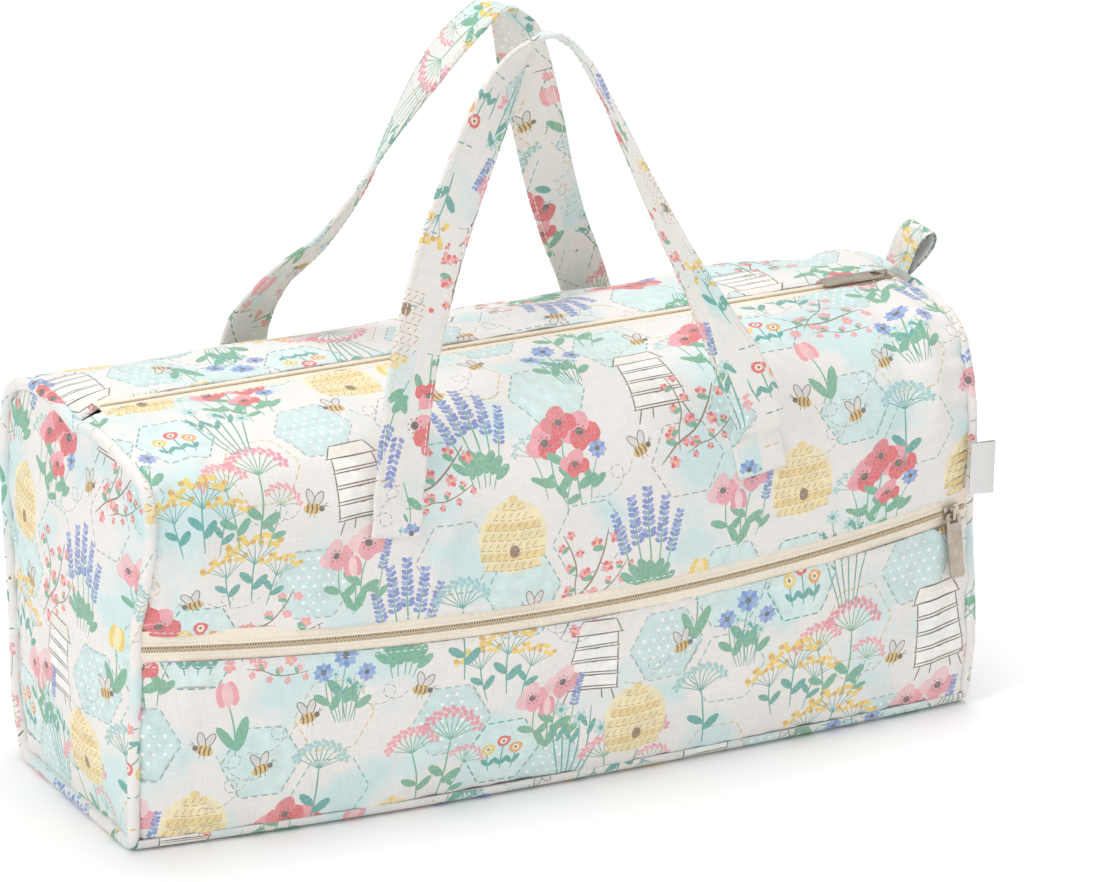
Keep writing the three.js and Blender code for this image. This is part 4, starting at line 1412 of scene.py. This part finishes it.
class StrapFace(Surface):
    """One strap's middle ribbon: u along it, v across it, and a height above its own front."""

    def __init__(self, path, height=0.0):
        path = np.array(path, float)
        dense = dense_spline(path[:, :3], per_piece=16)
        knots = np.arange(len(dense)) / 16
        twist = np.interp(knots, np.arange(len(path)), path[:, 3])
        kernel = np.hanning(17)
        kernel /= kernel.sum()
        twist = np.convolve(np.pad(twist, 8, mode="edge"), kernel, "valid")
        self.line = resample(dense, STRAP_POINTS)
        steps = distances(dense)
        self.length = steps[-1]
        self.even = np.linspace(0, self.length, STRAP_POINTS)
        twist = np.radians(np.interp(self.even, steps, twist))
        along = unit(np.gradient(self.line, axis=0))
        inside_way = unit(-np.cross(along, (0.0, -1.0, 0.0)))
        front = np.cross(inside_way, along)
        c, s = np.cos(twist)[:, None], np.sin(twist)[:, None]
        self.width_way = inside_way * c + np.cross(along, inside_way) * s
        self.front_way = front * c + np.cross(along, front) * s
        self.height, self.sign, self.relief = height, 1.0, None

    def at(self, u):
        u = np.clip(u, 0, self.length)
        centre, width_way, front_way = [read_off(u, self.even, rows)
                                        for rows in (self.line, self.width_way, self.front_way)]
        return centre, unit(width_way), unit(front_way)

    def base(self, uv):
        centre, width_way, front_way = self.at(uv[:, 0])
        centre = centre + past_ends(self.line, self.length, uv[:, 0])
        return centre + width_way * uv[:, 1:] + front_way * self.height


def strap_section(v):
    """Across and height at a distance round the strap's edge, starting in the middle of its underside."""
    half, t = STRAP_W / 2, STRAP_T / 2
    knots = [(0, -1), (9.4, -1), (10.6, -0.82), (11.6, -0.98), (12.6, -0.7), (half, 0),
             (12.6, 0.7), (11.6, 0.98), (10.6, 0.82), (9.4, 1), (0, 1)]
    right = np.array([(a, b * t) for a, b in knots], float)
    ring = np.vstack([right, (right[::-1] * (-1, 1))[1:]])
    steps = distances(ring)
    return np.interp(v, steps, ring[:, 0]), np.interp(v, steps, ring[:, 1]), steps


class StrapTube(Surface):
    """The strap's whole outside: u along it, v round it."""

    def __init__(self, face):
        self.face, self.sign, self.relief = face, 1.0, None
        self.steps = strap_section(np.zeros(1))[2]
        self.girth = self.steps[-1]
        self.length = face.length

    def base(self, uv):
        centre, width_way, front_way = self.face.at(uv[:, 0])
        across, height, _ = strap_section(np.clip(uv[:, 1], 0, self.girth))
        soft = 0.14 * ripple(uv[:, 0] + across * 0.4, 21, 12, 44) * np.clip(height, -1, 1)
        return centre + width_way * across[:, None] + front_way * (height + soft)[:, None]


def foot_stitching(at, other):
    """The stitched box of a strap foot, with its faint cross."""
    w = STRAP_W / 2 - STITCH_INSET
    box = [(at, -w), (other, -w), (other, w), (at, w), (at, -w)]
    lines = [straight(a, b, 2.0) for a, b in zip(box, box[1:])]
    return lines + [straight(box[0], box[2], 2.0), straight(box[1], box[3], 2.0)]


def make_strap(which, path, grid, material, thread, shift):
    full = foot_points(grid, -FOOT_X) + path + foot_points(grid, FOOT_X)[::-1]
    face = StrapFace(full)
    tube = StrapTube(face)
    shapes = print_over((0, 0), (face.length, tube.girth), shift, math.radians(90))
    inner = sorted({0.0, *np.round(tube.steps, 4), *np.arange(3, tube.girth, 3.0)})
    rows = [v for k, v in enumerate(inner) if k == 0 or v - inner[k - 1] > 0.45 or v in tube.steps]
    rows[-1] = tube.girth
    piece = printed_tube(f"strap_{which}", tube, shapes, material, 2.8, rows, True, None)
    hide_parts(f"{which}_handle", f"{which}_handle_foot_left", f"{which}_handle_foot_right")
    edge, length = STRAP_W / 2 - STITCH_INSET, face.length
    seams = [straight((26, w), (length - 26, w), 3.0) for w in (-edge, edge)]
    ends = foot_stitching(STITCH_INSET, BOX_LENGTH)
    ends += foot_stitching(length - BOX_LENGTH, length - STITCH_INSET)
    pieces = [piece]
    for label, height, lines in (("outer", STRAP_T / 2, seams + ends), ("inner", -STRAP_T / 2, seams)):
        side = StrapFace(full, height)
        towards_front = side.normals(np.array([[1.0, 0.0]])) * side.at(np.zeros(1))[2]
        facing = math.copysign(1.0, height * float(towards_front.sum()))
        name = f"stitching_strap_{which}_{label}"
        pieces.append(add_stitches(name, side, lines, thread, None, facing, -0.05))
    for p in pieces:
        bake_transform(p)


# ------------------------------------------------------------------ zip coils, sliders and pulls

COIL_PITCH = 1.3
METAL_EDGE = 0.22


def coil_template(side):
    """One coil loop: up from the tape and over to the middle, with a small head there."""
    across = np.array([1.0, 1.1, 0.85, 0.1, -0.35]) * side
    heights = np.array([-1.6, -0.95, -0.6, -0.55, -0.95])
    radii = [0.28, 0.32, 0.34, 0.38, 0.34]
    points, faces = tube_template(np.column_stack([across, np.zeros(5), heights]), radii)
    along = points[:, 1] + np.interp(points[:, 0] * side, [-0.5, 1.5], [0.12, 0.0])
    return np.column_stack([along, points[:, 0], points[:, 2]]), faces


def make_coil(name, zipper, low, high, side, node, material):
    count = int((high - low) / COIL_PITCH)
    s = low + (np.arange(count) + (0.5 if side > 0 else 0.0)) * COIL_PITCH
    points, faces = copies(*coil_template(side), *zipper.frames(s))
    new_object(name, points, faces, material, "bag", (node,))


TAPE_T = 0.5
TAPE_TOP = -1.5
TAPE_WIDE = 8.8
# Each zip's name and axes, the names of its two sides, and where its tapes and its coils start and end.
ZIPS = [
    ("top", top_zip, ("front", "back"), (-208, 217), (-207, 216)),
    ("front", front_zip, ("lower", "upper"), (-221.5, 221.5), (-219.5, 219.5)),
]


def make_tape(name, zipper, low, high, side, node, material):
    """A strip of woven tape beside the coil, with a slightly raised line where its coil is sewn on."""
    inner = (0.4, 0.7, 1.05, 1.35, 1.75, 2.2, 2.7, 3.15, 3.5, 5.0, 6.5, TAPE_WIDE)
    rise = (-0.25, 0.0, 0.1, 0.52, 0.76, 0.76, 0.52, 0.05, 0.0, 0.0, 0.0, 0.0)
    s = np.linspace(low, high, int((high - low) / 2.5))
    rows = [zipper.place(s, np.full(len(s), side * a), TAPE_TOP + h + 0.05 * ripple(s, 51, 5, 14))
            for a, h in zip(inner, rise)]
    rows += [zipper.place(s, np.full(len(s), side * a), np.full(len(s), TAPE_TOP - TAPE_T))
             for a in inner[::-1]]
    points, count, ring = np.array(rows), len(s), len(rows)
    faces = [[r * count + k, r * count + k + 1, (r + 1) % ring * count + k + 1, (r + 1) % ring * count + k]
             for r in range(ring) for k in range(count - 1)]
    faces += [[r * count for r in range(ring)][::-1], [r * count + count - 1 for r in range(ring)]]
    if side < 0:
        faces = [face[::-1] for face in faces]
    piece = new_object(name, points.reshape(-1, 3), faces, material, "bag", (node,))
    uv = np.column_stack([np.tile(s, ring), np.repeat(inner + inner[::-1], count)])
    set_uv(piece.data, uv)
    piece.data.set_sharp_from_angle(angle=math.radians(50))


def make_zips(coil, tape):
    for which, zipper, labels, ends, _ in ZIPS:
        for side, label in zip((-1, 1), labels):
            make_tape(f"tape_{which}_{label}", zipper, *ends, side, f"{which}_zip_tape_{label}", tape)
    for which, zipper, labels, _, ends in ZIPS:
        for side, label in zip((-1, 1), labels):
            make_coil(f"coil_{which}_{label}", zipper, *ends, side, f"{which}_zip_coil_{label}", coil)


def soften(name):
    """Rounds a CAD node's edges with a modifier; the node's own vertices stay."""
    modifiers = frame["nodes"][name].modifiers
    bevel = modifiers.new("edges", "BEVEL")
    bevel.width = METAL_EDGE * MM
    bevel.segments = 2
    bevel.limit_method = "ANGLE"
    bevel.angle_limit = math.radians(35)
    bevel.use_clamp_overlap = True
    modifiers.new("normals", "WEIGHTED_NORMAL").keep_sharp = True


def give(nodes, material):
    for name in nodes:
        node = frame["nodes"][name]
        node.data.materials.clear()
        node.data.materials.append(material)


# ------------------------------------------------------------------ the tab and the label

TAB_X, TAB_Z, TAB_WIDTH, TAB_LEAN = 216.0, 203.2, 22.0, 36.0
LABEL_Z, LABEL_WIDTH = 126.0, 26.0


class BandSurface(Surface):
    """A band of cloth following a line: u along it, v across it."""

    def __init__(self, line, across, relief=None):
        self.line = np.asarray(line, float)
        self.along = distances(self.line)
        self.length = self.along[-1]
        self.across = np.array(across, float)
        self.sign, self.relief = 1.0, relief

    def face(self, u, way):
        """Turns the surface's outside at u to point a given way."""
        self.sign = 1.0 if self.normals(np.array([[u, 0.0]]))[0] @ np.array(way) > 0 else -1.0

    def base(self, uv):
        centre = read_off(uv[:, 0], self.along, self.line)
        return centre + past_ends(self.line, self.length, uv[:, 0]) + self.across * uv[:, 1:]


def make_tab(material, thread):
    """A folded piece of strap standing at the end of the top zip, its tunnel across the bag."""
    shape = [(-1.7, 0.2), (-2.6, 5), (-4.6, 12), (-4.4, 19), (-1.6, 23.6), (2.2, 23.4), (4.6, 18.5),
             (4.6, 12), (2.8, 5), (1.7, 0.2)]
    a = math.radians(TAB_LEAN)
    line = [(TAB_X + x * math.cos(a) + z * math.sin(a), 0, TAB_Z - x * math.sin(a) + z * math.cos(a))
            for x, z in shape]
    line = dense_spline(line, per_piece=8)

    def relief(u, v):
        d = TAB_WIDTH / 2 - np.abs(v)
        groove = 0.22 * np.exp(-(((d - STITCH_INSET) / 0.5) ** 2))
        return -0.5 * np.clip(1 - d / 1.2, 0, 1) ** 2 - groove + 0.15 * ripple(u, 31, 8, 20)

    surface = BandSurface(line, (0, 1, 0), relief)
    surface.face(surface.length / 2, (0, 0, 1))
    half, length = TAB_WIDTH / 2, surface.length
    shapes = print_over((0, -half), (length, half), (200, 90), math.radians(90))
    extra = rows_beside(-half, 1, 0, length) + rows_beside(half, -1, 0, length)
    outline = rectangle(0, -half, length, half, 2.0)
    printed_panel("tab_end", surface, outline, shapes, material, ("end_tab_loop",), body="end_tab",
                  spacing=2.2, thickness=1.4, extra=extra, lining_spacing=4.0)
    edge = half - STITCH_INSET
    lines = [straight((1, w), (length - 1, w), 2.0) for w in (-edge, edge)]
    add_stitches("stitching_tab", surface, lines, thread, "end_tab")


def make_label(material):
    """A blank folded ribbon held in the seam."""
    line = [(215.5, -77.7), (220, -78.8), (225.4, -79.9), (227.9, -79.5), (228.1, -78.5), (225.5, -78.1),
            (220, -77.6), (215.5, -77.2)]
    line = dense_spline([(x, y, 0) for x, y in line], per_piece=8)
    line[:, 2] = LABEL_Z
    surface = BandSurface(line, (0.03, 0.02, 1.0))
    surface.face(surface.length * 0.25, (0, -1, 0))
    outline = rectangle(0, -LABEL_WIDTH / 2, surface.length, LABEL_WIDTH / 2, 2.0)
    printed_panel("label_side", surface, outline, [], material, ("side_label",), spacing=2.0,
                  thickness=0.28, lining_spacing=3.0)


# ------------------------------------------------------------------ making it all


def make_bag():
    cloth = printed_cloth("printed_linen")
    strap_cloth = printed_cloth("strap_linen", ground="e8e4df", wash_amount=(0.52, 0.66))
    piping_cloth = printed_cloth("piping_linen")
    thread = thread_material("sewing_thread", "efebe4")
    make_walls(cloth, thread)
    left_folds = [((-20, 60), 70, 40, 9, 1.1), ((10, 130), 100, 30, 8, -0.9), ((-40, 110), 95, 30, 8, 1.0)]
    right_folds = [((0, 80), 80, 50, 9, 1.0), ((30, 140), 60, 30, 8, -0.8)]
    left = make_end(-1, "end_left", "left_end_panel", cloth, left_folds, 41, (14, 30))
    right = make_end(1, "end_right", "right_end_panel", cloth, right_folds, 42, (60, 10))
    make_piping(-1, "piping_left", "left_piping", left, piping_cloth)
    make_piping(1, "piping_right", "right_piping", right, piping_cloth)
    make_base(cloth)
    make_strap("front", FRONT_STRAP, HIGH_GRID, strap_cloth, thread, (70, 40))
    make_strap("back", BACK_STRAP, BACK_GRID, strap_cloth, thread, (210, 120))
    make_zips(nylon("coil_nylon", "dac6a8"), woven("zip_tape_satin", "f3e8d6", (3.0, 34.0), 0.5, 0.2))
    lining = woven("lining_cotton", "e9e4da", (20.0, 20.0), 0.85)
    give(["base_lining", "back_lining", "needle_pocket_wall", "left_end_lining", "right_end_lining"], lining)
    give(["base_board"], woven("board_felt", "d9d4ca", (9.0, 9.0), 0.95))
    metal = satin_metal("zip_nickel", "cfc4b7", "b7ab9d")
    sliders = ["top_zip_slider", "front_zip_slider"]
    pulls = ["top_zip_pull", "front_zip_pull"]
    give(sliders + pulls, metal)
    for name in sliders + pulls:
        soften(name)
    make_tab(strap_cloth, thread)
    make_label(woven("label_ribbon", "dfdddb", (8.0, 36.0), 0.6, 0.15))


make_camera()
make_studio()
make_bag()
